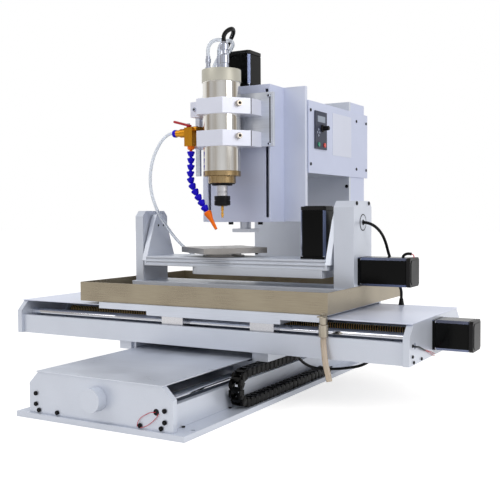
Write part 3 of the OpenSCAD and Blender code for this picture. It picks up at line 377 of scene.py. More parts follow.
KEY = Finish("grey_key", (0.60, 0.63, 0.70), (0.55, 0.58, 0.65), 0.0, 0.45)
DISPLAY = Finish("pale_display", (0.56, 0.60, 0.66), (0.50, 0.54, 0.60), 0.0, 0.15)
GREEN = Finish("green_button", (0.05, 0.55, 0.42), (0.04, 0.48, 0.36), 0.0, 0.3)
STOP = Finish("red_button", (0.90, 0.26, 0.20), (0.84, 0.22, 0.17), 0.0, 0.3)
GOLD = Finish("coated_cutter", (0.84, 0.66, 0.34), (0.72, 0.54, 0.26), 1.0, 0.24)
NICKEL = Finish("nickel_fitting", (0.80, 0.82, 0.87), (0.72, 0.74, 0.80), 1.0, 0.2)
TABLE = Finish("ground_table", (0.62, 0.61, 0.60), (0.52, 0.51, 0.50), 0.85, 0.32)
SLEEVE = Finish("drain_sleeve", (0.74, 0.71, 0.65), (0.50, 0.46, 0.40), 0.7, 0.24,
                grain=Grain.BRUSHED_Z, grain_size=0.003)
CLAMP = Finish("clamp_anodised", (0.91, 0.92, 0.97), (0.88, 0.89, 0.94), 0.2, 0.36)
STEEL = Finish("bright_steel", (0.80, 0.80, 0.81), (0.72, 0.72, 0.74), 1.0, 0.26)
CLEAR = Finish("clear_hose", (0.93, 0.95, 0.98), (0.915, 0.935, 0.97), 0.0, 0.14,
               spread=0.03, relief=0.000002, clear=0.6)
MILKY = Finish("milky_hose", (0.88, 0.82, 0.75), (0.85, 0.78, 0.69), 0.0, 0.22,
               spread=0.03, relief=0.000002, clear=0.4)
WIRE_RED = Finish("red_wire", (0.80, 0.12, 0.20), (0.70, 0.09, 0.16), 0.0, 0.35)
WIRE_PINK = Finish("pink_wire", (0.93, 0.50, 0.58), (0.88, 0.44, 0.52), 0.0, 0.35)
SEAM = Finish("dark_seam", (0.11, 0.115, 0.14), (0.07, 0.075, 0.10), 0.0, 0.6)


# ---- surfaces


@contextmanager
def merged(mesh: bpy.types.Mesh) -> Iterator[bmesh.types.BMesh]:
    """Opens a mesh with its doubled points merged, and writes it back at the end."""
    work = bmesh.new()
    work.from_mesh(mesh)
    bmesh.ops.remove_doubles(work, verts=work.verts, dist=WELD)
    yield work
    work.to_mesh(mesh)
    work.free()


def paint_faces(mesh: bpy.types.Mesh, finish: Finish, chosen: np.ndarray) -> None:
    """Gives the chosen faces a second finish.

    Args:
        mesh: The mesh.
        finish: The second finish.
        chosen: Whether each face has it.
    """
    mesh.materials.append(finish.material())
    mesh.polygons.foreach_set("material_index", chosen.astype(np.int32))


def of_faces(mesh: bpy.types.Mesh, what: str) -> np.ndarray:
    """Reads the "normal" or the "center" of each face, one a row."""
    found = np.zeros(len(mesh.polygons) * 3)
    mesh.polygons.foreach_get(what, found)
    return found.reshape(-1, 3)


class Surface:
    """Closed surfaces gathered into one mesh, in drawing millimetres.

    Each method that adds a shape returns the surface itself.
    """

    def __init__(self) -> None:
        """Starts empty."""
        self.points: list[np.ndarray] = []
        self.faces: list[list[int]] = []
        self.raised: list[np.ndarray] = []
        self.count = 0

    def rings(self, points: np.ndarray, raised: np.ndarray | None = None,
              ends: bool = True) -> Surface:
        """Adds a closed surface from rings of points, with a face at either end.

        Face (i, j) joins P(i, j), P(i, j+1), P(i+1, j+1) and P(i+1, j), and the last
        column joins the first.

        Args:
            points: An array of rings x points x 3.
            raised: How far each point stands proud, 0 to 1, rings x points.
            ends: Whether the first and last rings get a face.
        """
        rows, cols = points.shape[:2]
        i, j = np.meshgrid(np.arange(rows - 1), np.arange(cols), indexing="ij")
        k = (j + 1) % cols
        quads = np.stack([i * cols + j, i * cols + k, (i + 1) * cols + k,
                          (i + 1) * cols + j], axis=-1).reshape(-1, 4)
        faces = quads.tolist()
        for row in (0, rows - 1):
            if ends and np.ptp(points[row], axis=0).max() > 1e-4:
                faces.append(list(range(row * cols, (row + 1) * cols)))
        self.points.append(points.reshape(-1, 3))
        self.raised.append(np.zeros(rows * cols) if raised is None
                           else raised.reshape(-1))
        self.faces += [[self.count + i for i in face] for face in faces]
        self.count += rows * cols
        return self

    def turn(self, start: Point, axis: np.ndarray, profile: list[tuple[float, ...]],
             sides: int = 32, ends: bool = True) -> Surface:
        """Adds a turned shape.

        P(i, v) = start + h_i * axis + r_i(v) * (cos v * a + sin v * b), and r_i(v) is
        r_i, or for a row with a third number n the n-sided outline
        r_i * cos(pi / n) / cos((v mod 2 pi / n) - pi / n).

        Args:
            start: Where h is 0.
            axis: The axis of turning.
            profile: Rows of h, r and, where it isn't round, the count of sides.
            sides: Points around.
            ends: Whether the first and last rows are joined to the axis.
        """
        if ends:
            profile = [(profile[0][0], 0), *profile, (profile[-1][0], 0)]
        axis = unit(axis)
        a, b = across(axis)
        v = np.linspace(0.0, 2 * math.pi, sides, endpoint=False)
        out = np.cos(v)[:, None] * a + np.sin(v)[:, None] * b
        rows = []
        for row in profile:
            radius = np.full(sides, float(row[1]))
            if len(row) > 2:
                part = 2 * math.pi / row[2]
                radius *= math.cos(part / 2) / np.cos(v % part - part / 2)
            rows.append(np.asarray(start) + row[0] * axis + radius[:, None] * out)
        return self.rings(np.stack(rows), None, ends)

    def tube(self, path: np.ndarray, radius: float | np.ndarray, side: np.ndarray,
             sides: int = 14) -> Surface:
        """Adds a tube along a path.

        P(i, v) = C_i + R_i * (cos v * a_i + sin v * b_i), with a_i across the path
        and the side vector, and b_i across the path and a_i.

        Args:
            path: The centres C, one a row.
            radius: The radius, or one for each centre.
            side: A vector that the path never runs along.
            sides: Points around.
        """
        along = unit(np.gradient(path, axis=0))
        a = unit(np.cross(along, side))
        b = np.cross(along, a)
        v = np.linspace(0.0, 2 * math.pi, sides, endpoint=False)[None, :, None]
        r = np.broadcast_to(radius, len(path))[:, None, None]
        return self.rings(path[:, None] + r * (np.cos(v) * a[:, None]
                                               + np.sin(v) * b[:, None]))

    def prism(self, outline: np.ndarray, start: Point, u: np.ndarray, v: np.ndarray,
              levels: list[tuple[float, float]]) -> Surface:
        """Adds an outline carried along its normal and drawn in at some levels.

        P(i, j) = start + h_i * (u x v) + s_ij * (p_j * u + q_j * v), where s_ij draws
        the outline in by the level's inset.

        Args:
            outline: Rows of p and q round the middle.
            start: The outline's origin at height 0.
            u: The direction of p.
            v: The direction of q.
            levels: Rows of height and inset.
        """
        outline = np.asarray(outline, float)
        size = np.abs(outline).max()
        rows = [np.asarray(start) + h * np.cross(u, v)
                + (1 - inset / size) * (outline[:, :1] * u + outline[:, 1:] * v)
                for h, inset in levels]
        return self.rings(np.stack(rows))

    def block(self, low: Point, high: Point) -> Surface:
        """Adds a block between two corners, for a piece whose edges are broken."""
        (x0, y0, z0), (x1, y1, z1) = low, high
        corners = [[(x0, y0, z), (x1, y0, z), (x1, y1, z), (x0, y1, z)]
                   for z in (z0, z1)]
        return self.rings(np.array(corners, float))

    def screw(self, place: Point, axis: np.ndarray, width: float,
              height: float) -> Surface:
        """Adds a socket screw's head: a chamfered disc with a hexagon socket.

        Args:
            place: The middle of the face under the head.
            axis: The way the head points.
            width: The head's diameter.
            height: The head's height.
        """
        r = width / 2
        return self.turn(place, axis, [
            (0, r), (0.72 * height, r), (height, 0.84 * r),
            (height, 0.56 * r, 6), (0.35 * height, 0.52 * r, 6),
            (0.3 * height, 0)], 18)

    def piece(self, name: str, finish: Finish, body: str | None,
              replaces: tuple[str, ...] = (), edge: float = 0.0) -> bpy.types.Object:
        """Makes the mesh a piece of the machine.

        Args:
            name: The piece's name.
            finish: What it is made of.
            body: The body that it rides on, or None.
            replaces: CAD nodes that it stands for.
            edge: Width of the broken edges in millimetres, 0 for none.

        Returns:
            The piece.
        """
        mesh = bpy.data.meshes.new(name)
        mesh.from_pydata(in_frame(np.concatenate(self.points)).tolist(), [], self.faces)
        # A finish with a painted highlight takes it where the points stand proud.
        if finish.raised_highlight is not None:
            mesh.attributes.new("raised", "FLOAT", "POINT").data.foreach_set(
                "value", np.concatenate(self.raised).astype(np.float32))
        return settle(mesh, name, finish, body, replaces, edge)


def settle(mesh: bpy.types.Mesh, name: str, finish: Finish, body: str | None,
           replaces: tuple[str, ...], edge: float) -> bpy.types.Object:
    """Closes a mesh's seams, turns its faces outwards and puts it on the machine.

    Args:
        mesh: The mesh, in metres.
        name: The piece's name.
        finish: What it is made of.
        body: The body that it rides on, or None.
        replaces: CAD nodes that it stands for.
        edge: Width of the broken edges in millimetres, 0 for none.

    Returns:
        The piece.
    """
    with merged(mesh) as work:
        bmesh.ops.dissolve_degenerate(work, edges=work.edges, dist=WELD / 2)
        bmesh.ops.recalc_face_normals(work, faces=work.faces)
    mesh.shade_smooth()
    mesh.materials.clear()
    mesh.materials.append(finish.material())
    made = bpy.data.objects.new(name, mesh)
    bpy.context.scene.collection.objects.link(made)
    if edge:
        broken = made.modifiers.new("broken_edges", "BEVEL")
        broken.width = edge / 1000.0
        broken.segments = 2
        broken.limit_method = "ANGLE"
        broken.angle_limit = CREASE
        even = made.modifiers.new("even_faces", "WEIGHTED_NORMAL")
        even.mode = "FACE_AREA"
        even.weight = 100
    else:
        mesh.set_sharp_from_angle(angle=CREASE)
    if body:
        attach(made, body)
    if replaces:
        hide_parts(*replaces)
    LOG.info("made %s of %s", name, finish.name)
    return made


# ---- bought parts


@dataclass
class Screws:
    """Socket screws of one finish on one body, made as one piece.

    Attributes:
        name: The piece's name.
        body: The body that they ride on.
        finish: What they are made of.
        heads: Their heads.
        shade_blocks: Black blocks in the bottoms of their sockets, as painted shade.
    """

    name: str
    body: str
    finish: Finish
    heads: Surface = field(default_factory=Surface)
    shade_blocks: Surface = field(default_factory=Surface)

    def put(self, places: list[Point], axis: np.ndarray, width: float,
            height: float) -> Screws:
        """Adds a screw at each place, which is the middle of its head's seat."""
        low, bore = 0.34 * height, 0.24 * width
        for place in places:
            self.heads.screw(place, axis, width, height)
            # A black block in the bottom of each socket: painted shade.
            self.shade_blocks.turn(place, axis, [
                (low, bore, 6), (low + 0.3 * height, bore, 6)], 12)
        return self

    def build(self) -> None:
        """Makes the piece, and the painted shade in the sockets of bright screws."""
        self.heads.piece(self.name, self.finish, self.body)
        if self.finish is not BLACKENED:
            self.shade_blocks.piece(self.name + "_painted_socket_shade", BLACK, self.body)


def cut_square(half: float, cut: float) -> np.ndarray:
    """Gives a square with cut corners, as rows of p and q."""
    low = half - cut
    return np.array([(low, -half), (half, -low), (half, low), (low, half),
                     (-low, half), (-half, low), (-half, -low), (-low, -half)])


@dataclass
class Motor:
    """A stepper motor with its flange, laminated body and end cap.

    Attributes:
        name: Start of its pieces' names.
        place: The middle of its mounting face, in drawing millimetres.
        axis: The way its body points.
        up: A direction across a side of its body.
        length: Length of the body.
        body: The body that it rides on.
        size: Width across the flange.
        cut: Corner cut of the laminated body.
    """

    name: str
    place: Point
    axis: np.ndarray
    up: np.ndarray
    length: float
    body: str
    size: float = 56.4
    cut: float = 4.7

    def build(self, *replaces: str) -> None:
        """Makes the flange, the stack with painted highlights on its chamfers, the end
        cap with its boss, and the screws.

        Args:
            replaces: CAD nodes that the stack stands for.
        """
        half, end = self.size / 2, self.length
        v, u = self.up, np.cross(self.up, self.axis)
        start = np.asarray(self.place, float)
        stack = Surface()
        stack.prism(cut_square(half - 0.1, 1.6), start, u, v,
                    [(0, 0), (4.4, 0), (4.8, 0.4)])
        stack.prism(cut_square(half - 0.1, self.cut), start, u, v, [
            (4.8, 1.2), (6.0, 1.2), (6.3, 0), (end - 10.2, 0), (end - 9.8, 0.9),
            (end - 9, 0.9)])
        mesh = stack.piece(f"{self.name}_stack", MOTOR, self.body, replaces, 0.5).data
        # Every chamfer of the stack is painted light bluish metal: a painted highlight.
        normal = of_faces(mesh, "normal")
        paint_faces(mesh, CHAMFER_HIGHLIGHT, np.abs((normal @ u) * (normal @ v)) > 0.4)
        cap = Surface().prism(cut_square(half, self.cut), start, u, v, [
            (end - 9, 0.5), (end - 8.6, 0), (end - 1.6, 0), (end - 1.2, 0.4)])
        cap.prism(cut_square(half - 5, self.cut), start, u, v, [
            (end - 2.0, 0), (end - 0.4, 0), (end, 0.4)])
        cap.turn(start + (end - 1.4) * self.axis, self.axis, [
            (0, 11.5), (1.3, 11.0), (1.35, 8.6), (0.7, 8.0)])
        cap.piece(f"{self.name}_cap", MOTOR_CAP, self.body, (), 0.4)
        reach = self.size * 0.418
        seats = [start + reach * (p * u + q * v) + 4.7 * self.axis
                 for p in SIDES for q in SIDES]
        Screws(f"{self.name}_bolts", self.body, NICKEL).put(
            seats, self.axis, 6.2, 4.6).build()


@dataclass
class BallScrew:
    """The rolled thread of a ball screw, with its journals and coupling.

    Attributes:
        name: The slide that it drives: "x", "y" or "z".
        axis: Its axis.
        thread: Where the thread begins and ends along the axis.
        coupling: Where the coupling begins and ends.
        lead: Rise of the thread in one turn.
        width: Diameter over the thread.
    """

    name: str
    axis: np.ndarray
    thread: tuple[float, float]
    coupling: tuple[float, float]
    lead: float = 5.0
    width: float = 16.0

    def build(self) -> None:
        """Makes the screw.

        The thread is P(t, v) = C + t * axis + r * (cos v * a + sin v * b), with
        r = R - d * max(0, 1 - (2 s / w)^2) and s the distance of t / lead - v / 2 pi
        from its nearest whole number: a round groove of depth d and width w.
        """
        node, body = f"{self.name}_screw", f"{self.name}_ball_screw"
        low, high = box(node)
        axis = self.axis
        middle = (low + high) / 2 * (1 - axis)
        a, b = across(axis)
        begin, end = self.thread
        t = np.arange(begin, end, self.lead / 6)[:, None]
        v = np.linspace(0, 2 * math.pi, 20, endpoint=False)[None, :]
        turn = t / self.lead - v / (2 * math.pi)
        off = np.abs(turn - np.round(turn))
        groove = np.clip(1 - (off / 0.34) ** 2, 0, 1)
        rise = np.minimum(1, np.minimum(t - begin, end - t) / 3)
        r = self.width / 2 - 0.05 - 1.5 * groove - 1.5 * (1 - rise)
        ring = np.cos(v)[..., None] * a + np.sin(v)[..., None] * b
        points = middle + t[..., None] * axis + r[..., None] * ring
        # The crests carry a painted golden highlight, mixed in by how far each point
        # stands proud.
        made = Surface().rings(points, (1 - groove) ** 1.5)
        first, last = float(low @ axis), float(high @ axis)
        journal = self.width / 2 - 2
        made.turn(middle, axis, [
            (first, journal - 0.5), (first + 0.5, journal),
            (last - 0.5, journal), (last, journal - 0.5)], 24)
        made.piece(f"{self.name}_thread", THREAD, body, (node,))
        c0, c1 = self.coupling
        Surface().turn(middle, axis, [
            (c0, 11.6), (c0 + 0.8, 12.4), (c0 + 6.5, 12.4), (c0 + 7.1, 10.4),
            (c1 - 7.1, 10.4), (c1 - 6.5, 12.4), (c1 - 0.8, 12.4), (c1, 11.6)]).piece(
                f"{self.name}_thread_coupling", STEEL, body)


# ---- soft lines


@dataclass
class Line:
    """One cable or tube that hangs free.

    Attributes:
        name: The piece's name.
        nodes: The CAD solids that it stands for.
        finish: What it is made of.
        width: Its diameter in millimetres.
        bodies: The body at its start and the one at its end, if it is another.
        side: A vector that the route never runs along.
        points: Its route in drawing millimetres, from the end where it leaves.
        stiffness: How stiff it is; not used.
        coil: Turns wound on at the far end, as points that follow the route's.
        ends_on: Name of the piece on its far end, or ""; not used.
        far_end: What is on its far end; not used.
    """

    name: str
    nodes: tuple[str, ...]
    finish: Finish
    width: float
    bodies: tuple[str, ...]
    side: Point
    points: list[Point]
    stiffness: str = "medium"
    coil: np.ndarray | None = None
    ends_on: str = ""
    far_end: str = "object"

    def build(self) -> None:
        path = smooth(np.array(self.points, float), 1.5)
        if self.coil is not None:
            path = np.vstack([path, self.coil])
        made = Surface().tube(path, self.width / 2, np.array(self.side, float), 12)
        moves = self.bodies[0] if len(self.bodies) == 1 else None
        piece = made.piece(self.name, self.finish, moves, self.nodes)
        if moves is None:
            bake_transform(piece)


@dataclass
class Coil:
    """The coolant tube's spare length, wound in two layers of three turns.

    Attributes:
        middle: The coil's middle, at the height of its upper layer.
        outer: Radius of the outer turns.
        pitch: The tube's diameter.
        shift: Degrees over which the tube moves to the next turn.
        bend: Radius of the end, which turns in from the inner turns.
    """

    middle: Point = (-80.0, 742.0, 96.5)
    outer: float = 43.5
    pitch: float = 7.0
    shift: float = 30.0
    bend: float = 22.0

    def path(self) -> np.ndarray:
        """Winds the turns, each step one shift earlier than the step before it.

        P(t) = middle + (r cos t, r sin t, z), where r falls by a pitch at the second
        and fourth step and z by one at the first and fifth and rises at the third.

        Returns:
            The points of the turns and of the end.
        """
        shift = self.shift
        t = np.arange(4.0, 6 * 360.0 - 6 * shift, 5.0)
        step = [ease(t, (360.0 - shift) * k, (360.0 - shift) * k + shift)
                for k in range(6)]
        r = self.outer - self.pitch * (step[2] + step[4])
        z = self.pitch * (step[3] - step[1] - step[5])
        angle = np.radians(180.0 + t)
        turns = np.stack([r * np.cos(angle), r * np.sin(angle), z], axis=1)
        last = math.atan2(turns[-1, 1], turns[-1, 0])
        hub = turns[-1] - self.bend * np.array([math.cos(last), math.sin(last), 0])
        v = last + np.radians(np.arange(6.0, 110.0, 6.0))
        end = hub + self.bend * np.stack([np.cos(v), np.sin(v), 0 * v], axis=1)
        return np.asarray(self.middle) + np.vstack([turns, end])

    def fitting(self) -> None:
        """Makes the push-in joint at the coil's end."""
        path = self.path()
        way = unit(path[-1] - path[-2])
        Surface().turn(path[-1] - 1.5 * way, way, [
            (0, 4.6), (1, 4.9), (5.5, 4.9), (6, 4.2), (7, 4.2), (7, 5.4, 6),
            (12, 5.4, 6), (12, 3.4), (16, 3.2), (16, 1.8), (8, 1.8)],
            24).piece("coolant_joint", NICKEL, "frame")


HEAD = ("z_axis", "frame")  # the lines that leave the spindle's slide
LINES: tuple[Line, ...] = (
    Line("spindle_lead", ("spindle_cable",), RUBBER, 9.5, HEAD, (1, 0.4, 0), [
        (9, 414, 725), (9, 414, 736), (12, 419, 746), (16, 429, 753),
        (15, 441, 755), (9, 453, 751), (-2, 464, 744), (-16, 474, 734),
        (-31, 485, 720), (-44, 500, 705), (-54, 518, 687), (-60, 538, 668),
        (-61, 556, 652), (-60, 571, 640), (-60, 580, 629), (-60, 580, 620)],
        "limp"),
    Line("water_out", ("water_return",), CLEAR, 8.0, HEAD, (1, 0.4, 0), [
        (-13, 430, 700), (-13, 430, 712), (-10, 432, 723), (-3, 439, 731),
        (3, 449, 734), (3, 461, 730), (-6, 471, 723), (-22, 478, 712),
        (-40, 486, 701), (-57, 500, 690), (-67, 518, 676), (-73, 538, 662),
        (-75, 556, 650), (-74, 571, 640), (-74, 580, 629), (-74, 580, 620)],
        "limp"),
    Line("water_in", ("water_feed",), CLEAR, 8.0, HEAD, (1, 0.4, 0), [
        (-33, 418, 700), (-33, 418, 713), (-31, 420, 723), (-25, 424, 731),
        (-16, 432, 735), (-11, 443, 734), (-14, 455, 729), (-24, 465, 720),
        (-39, 474, 709), (-55, 484, 699), (-70, 499, 687), (-80, 517, 674),
        (-87, 537, 660), (-89, 555, 649), (-88, 571, 639), (-88, 580, 629),
        (-88, 580, 620)], "limp"),
    Line("coolant_line", ("coolant_tube", "coolant_coil"), CLEAR, 7.0, HEAD,
         (1, -1, 0), [
        (-112, 402, 538), (-124, 402, 538), (-141, 402, 528), (-156, 402, 510),
        (-169, 403, 487), (-178, 405, 460), (-182, 409, 430), (-181, 416, 400),
        (-177, 431, 367), (-172, 458, 334), (-169, 492, 304), (-165, 526, 281),
        (-157, 562, 260), (-144, 602, 244), (-128, 642, 233), (-115, 678, 228),
        (-108, 710, 226), (-110, 737, 214), (-115, 758, 193), (-119, 770, 165),
        (-122, 773, 138), (-123.4, 769, 117), (-123.6, 757, 102),
        (-123.5, 745, 96.8)], "limp", Coil().path(), "coolant_joint", "fitting"),
    Line("tilt_lead", ("tilt_cable",), RUBBER, 6.0, ("x_axis", "y_axis"),
         (0.6, 0.4, 1), [
        (291, 465, 345), (303, 465, 345), (316, 466, 342), (327, 471, 334),
        (335, 479, 321), (339, 489, 304), (341, 500, 283), (343, 513, 262),
        (344, 528, 241), (345, 544, 222), (346, 557, 209), (345, 566, 199),
        (345, 566, 186)]),
    Line("drain_line", ("drain_hose",), MILKY, 11.0, ("x_axis",), (0, 1, 0), [
        (299, 277, 140), (299, 277, 128), (302, 274, 111), (306, 271, 92),
        (311, 269, 76), (315, 267, 62)], far_end="bare"),
    Line("beam_lead", ("beam_cable",), RUBBER, 6.0, ("y_axis",), (0.3, -1, 0), [
        (166, 422, 74), (166, 440, 68), (168, 462, 53), (175, 484, 41),
        (190, 500, 35), (219, 507, 36), (250, 508, 41), (277, 508, 48),
        (297, 508, 60), (307, 508, 79), (307, 508, 91)]),
    Line("base_lead", (), WIRE_RED, 1.1, ("frame",), (0.1, 1, 0.1), [
        (123.6, 8.5, 41), (121, 5.5, 40.9), (117, 4.6, 40.6), (113, 4.5, 39.6),
        (107, 4.5, 37), (102, 4.5, 34), (96.5, 4.5, 31), (92, 4.5, 27),
        (89, 4.5, 23), (87, 4.5, 18.5), (86, 4.6, 13)]),
    Line("base_lead_2", (), WIRE_RED, 1.1, ("frame",), (0.1, 1, 0.1), [
        (127.6, 8.5, 40), (128.6, 5, 38), (127, 4.5, 34), (122, 4.5, 29),
        (115, 4.5, 23), (107, 4.5, 17.6), (99, 4.5, 14), (93, 4.6, 12.4)]),
    Line("end_lead", (), RUBBER, 2.6, ("y_axis",), (1, 0.1, 0.1), [
        (459.8, 304, 130.8), (462.6, 309, 130.3), (463.4, 318, 128.6),
        (463.4, 328, 125.4), (463.2, 342, 121), (463, 354, 117.6)]),
    *(Line(f"end_wire_{name}", (), WIRE_RED, 1.2, ("y_axis",), (1, 0.1, 0.1), [
        (463, 353, 117.9 + shift), (462.8, 364, 115.2 + shift),
        (462.6, 374, 112.6 + shift), (462.4, 386, 109.4 + 2 * shift),
        (462.2, 398, 105.4 + 3 * shift), (461.8, 408, 102 + 3 * shift),
        (461.4, 417, 99.8 + 3 * shift)])
      for name, shift in (("a", 0.7), ("b", -0.7))),
)


# ---- the machine

DRESS: dict[str, tuple[Finish, float]] = {
    "base_plate": (ANODISED, 0.5), "base_box": (ANODISED, 0.5),
    "base_cover": (BRUSHED, 0.4), "guide_rails": (CHROME, 0.3),
    "screw_bearings": (ANODISED, 0.5), "saddle": (ANODISED, 0.5),
    "beam_panels": (ANODISED, 0.5), "beam_ends": (ANODISED, 0.6),
    "beam_cover": (SHEET, 0.4), "x_rails": (CHROME, 0.3),
    "carriage_plate": (BRUSHED, 0.4), "carriage_blocks": (STEEL, 0.5),
    "tray": (TRAY, 0.3), "trunnion_base": (ANODISED, 0.5),
    "trunnion_posts": (ANODISED, 0.8),
    "cradle_arms": (ANODISED, 0.6), "cradle_plate": (ANODISED, 0.6),
    "belt_housing": (ANODISED, 0.8), "turn_bearing": (TABLE, 0.3),
    "rotary_plate": (TABLE, 0.6), "column_front": (ANODISED, 0.5),
    "column_shell": (GUARD, 0.4), "arm_box_plates": (BRUSHED, 0.4),
    "arm_box_covers": (GUARD, 0.5), "mount_plate": (SHEET, 0.5),
    "head_housing": (GUARD, 0.5), "keypad_case": (KEYPAD, 0.6),
    "z_slide_plate": (BRUSHED, 0.5), "spindle_clamps": (CLAMP, 0.7),
    "coolant_valve": (BRASS, 0.4), "spindle_fittings": (NICKEL, 0.3),
    "frame_screws": (BLACKENED, 0.0), "hose_upper": (BLUE, 0.0),
    "hose_middle": (BLUE, 0.0), "hose_lower": (BLUE, 0.0),
    "hose_nozzle": (ORANGE, 0.0),
    "start_button": (GREEN, 0.2), "stop_button": (STOP, 0.2),
}
SECOND: dict[str, tuple[Finish, str]] = {
    "arm_box_plates": (RUBBER, "z>612.4"), "beam_cover": (RUBBER, "z>172.4"),
    "coolant_valve": (ORANGE, "z<508.6"),
}


def refined(frame: dict, node: str, finish: Finish, edge: float,
            second: Finish | None = None, where: str = "") -> None:
    """Replaces a node by its own shape with broken edges and round faces smoothed.

    Args:
        node: The CAD node.
        finish: What it is made of.
        edge: Width of the broken edges in millimetres, 0 for none.
        second: The finish of the faces that lie past a level.
        where: Which level that is, as "z>612", or "z<509" for the faces under it.
    """
    mesh = frame["nodes"][node].data.copy()
    mesh.name = node + "_made"
    with merged(mesh) as work:
        bmesh.ops.dissolve_limit(work, angle_limit=math.radians(0.4), verts=work.verts,
                                 edges=work.edges)
    owner = next(name for name, nodes in
                 frame["record"]["behaviour"]["bodies"].items() if node in nodes)
    settle(mesh, node + "_made", finish, owner, (node,), edge)
    if second is not None:
        past = (of_faces(mesh, "center")[:, "xyz".index(where[0])] * 1000.0
                - float(where[2:]))
        paint_faces(mesh, second, past > 0 if where[1] == ">" else past < 0)


def dress(frame: dict) -> None:
    """Replaces each rigid node of the table by its refined copy.
    """
    for node, (finish, edge) in DRESS.items():
        refined(frame, node, finish, edge, *SECOND.get(node, ()))


@dataclass
class DragChain:
    """The drag chain, parted into its two runs and its bend.

    On the machine the bend travels half as far as the beam.

    Attributes:
        x: The middle of its links.
        front: Where the bend meets the runs.
        middle: Height of the bend's middle.
    """

    x: float = 205.0
    front: float = 218.0
    middle: float = 46.3

    def build(self, frame: dict) -> None:
        """Cuts the three parts out of the CAD chain.
        """
        x, front, middle = self.x, self.front, self.middle
        far = 1e6  # how far the bend's start and end lie from its middle
        for name, way, side, start, end in (
                ("chain_bend", Y, None, (x, front, middle - far),
                 (x, front, middle + far)),
                ("chain_upper", -Y, -Z, (x, 6, middle), (x, 430, middle)),
                ("chain_lower", -Y, Z, (x, 575, middle), (x, -139, middle))):
            mesh = frame["nodes"]["y_chain"].data.copy()
            mesh.name = name
            with merged(mesh) as work:
                for normal in (way,) if side is None else (way, side):
                    whole = work.verts[:] + work.edges[:] + work.faces[:]
                    bmesh.ops.bisect_plane(
                        work, geom=whole, clear_outer=True, plane_no=Vector(normal),
                        plane_co=Vector(in_frame((0, front, middle))))
                rim = [edge for edge in work.edges if edge.is_boundary]
                bmesh.ops.holes_fill(work, edges=rim)
            made = settle(mesh, name, CHAIN, None, ("y_chain",), 0.0)
            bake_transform(made)


@dataclass
class Spindle:
    """The water-cooled spindle with its cap, nut and cutter.

    Attributes:
        centre: Its axis, at height 0.
        radius: Radius of the barrel.
    """

    centre: Point = (0.0, 418.0, 0.0)
    radius: float = 40.0

    def build(self) -> None:
        """Turns the barrel, the cap, the nose, the shaft and the nut."""
        r = self.radius
        for name, finish, body, nodes, sides, profile in (
                ("spindle_barrel", BARREL, "z_axis", ("spindle_body",), 96, [
                    (454, r - 0.5), (454.5, r), (637.4, r), (638, r - 0.6),
                    (639.4, r - 0.6), (640, r), (641, r)]),
                ("spindle_cap", CAP, "z_axis", (), 96, [
                    (640.2, 41.0), (640.8, 41.5), (665.4, 41.5), (666.6, 40.9),
                    (667, 39.6)]),
                ("spindle_nose", NOSE, "z_axis", (), 96, [
                    (428.6, 28.4), (429.2, 29.2), (443, 29.2), (443, r - 1.2),
                    (444.2, r), (453.4, r), (453.9, r - 0.5)]),
                ("nose_seal", BLACK, "z_axis", (), 72, [
                    (424, 20.8), (424.8, 22), (427, 22), (427.2, 27.4),
                    (428.5, 27.4)]),
                ("rotor_shaft", STEEL, "rotor", (), 48, [
                    (401.8, 12), (409, 12), (409.6, 11.4), (411.4, 11.4), (412, 12),
                    (424.2, 12)])):
            Surface().turn(self.centre, Z, profile, sides).piece(
                name, finish, body, nodes)
        nut = Surface().turn(self.centre, Z, [
            (380, 8.5), (381.5, 13.0), (381.6, 15.4), (382.6, 17.0),
            (391.4, 17.0), (391.8, 16.2), (393.2, 16.2), (393.6, 17.2),
            (401.4, 17.2), (402, 16.6)], 64)
        for k in range(16):
            turn = math.radians(22.5 * k)
            out = math.cos(turn) * X + math.sin(turn) * Y
            rib = np.asarray(self.centre) + 16.4 * out + 383 * Z
            nut.prism([(-1.7, -1), (1.7, -1), (1.3, 1), (-1.3, 1)], rib,
                      np.cross(Z, out), -out, [(0, 0.3), (8.0, 0.3)])
        nut.piece("collet_and_nut", BLACKENED, "rotor", ("collet_nut",))
        self.cutter()

    def cutter(self) -> None:
        """Grinds two flutes into the end mill.

        P(z, v) = C + z Z + r (cos v X + sin v Y), with
        r = R (1 - 0.34 (0.5 + 0.5 cos 2 (v - 0.3 z))^2).
        """
        low, high = (corner[2] for corner in box("end_mill"))
        radius, flutes = 2.98, low + 22.0
        z = np.linspace(low + 0.02, flutes, 60)[:, None]
        v = np.linspace(0, 2 * math.pi, 36, endpoint=False)[None, :]
        wave = 0.5 + 0.5 * np.cos(2 * (v - 0.30 * (z - low)))
        r = radius * (1 - 0.34 * wave**2)
        ring = np.cos(v)[..., None] * X + np.sin(v)[..., None] * Y
        made = Surface().rings(np.asarray(self.centre) + z[..., None] * Z
                               + r[..., None] * ring)
        made.turn(self.centre, Z, [(flutes - 0.1, radius), (high, radius)], 36)
        made.piece("cutter", GOLD, "rotor", ("end_mill",))


@dataclass
class Drives:
    """The five stepper motors and the three ball screws.

    Attributes:
        short: Length of the slides' motors.
        long: Length of the tilt and the turn motor.
        upright: Length of the vertical motor.
    """

    short: float = 76.0
    long: float = 108.0
    upright: float = 80.0

    def build(self) -> None:
        """Makes each motor and each screw."""
        Motor("x_motor", (460, 433.5, 138), X, Z, self.short, "y_axis").build("x_motor")
        Motor("tilt_motor", (300, 465, 248.5), X, Z, self.long, "x_axis").build(
            "tilt_motor")
        Motor("turn_motor", (202, 465, 271), Z, X, self.long, "cradle").build(
            "turn_motor")
        Motor("y_motor", (0, 783, 50), Y, Z, self.short, "frame").build("axis_motors")
        Motor("z_motor", (0, 516, 641), Z, Y, self.upright, "frame").build()
        BallScrew("x", X, (-438.5, 412), (436, 459)).build()
        BallScrew("y", Y, (22, 708), (736, 782)).build()
        BallScrew("z", Z, (363.5, 627), (632, 640)).build()


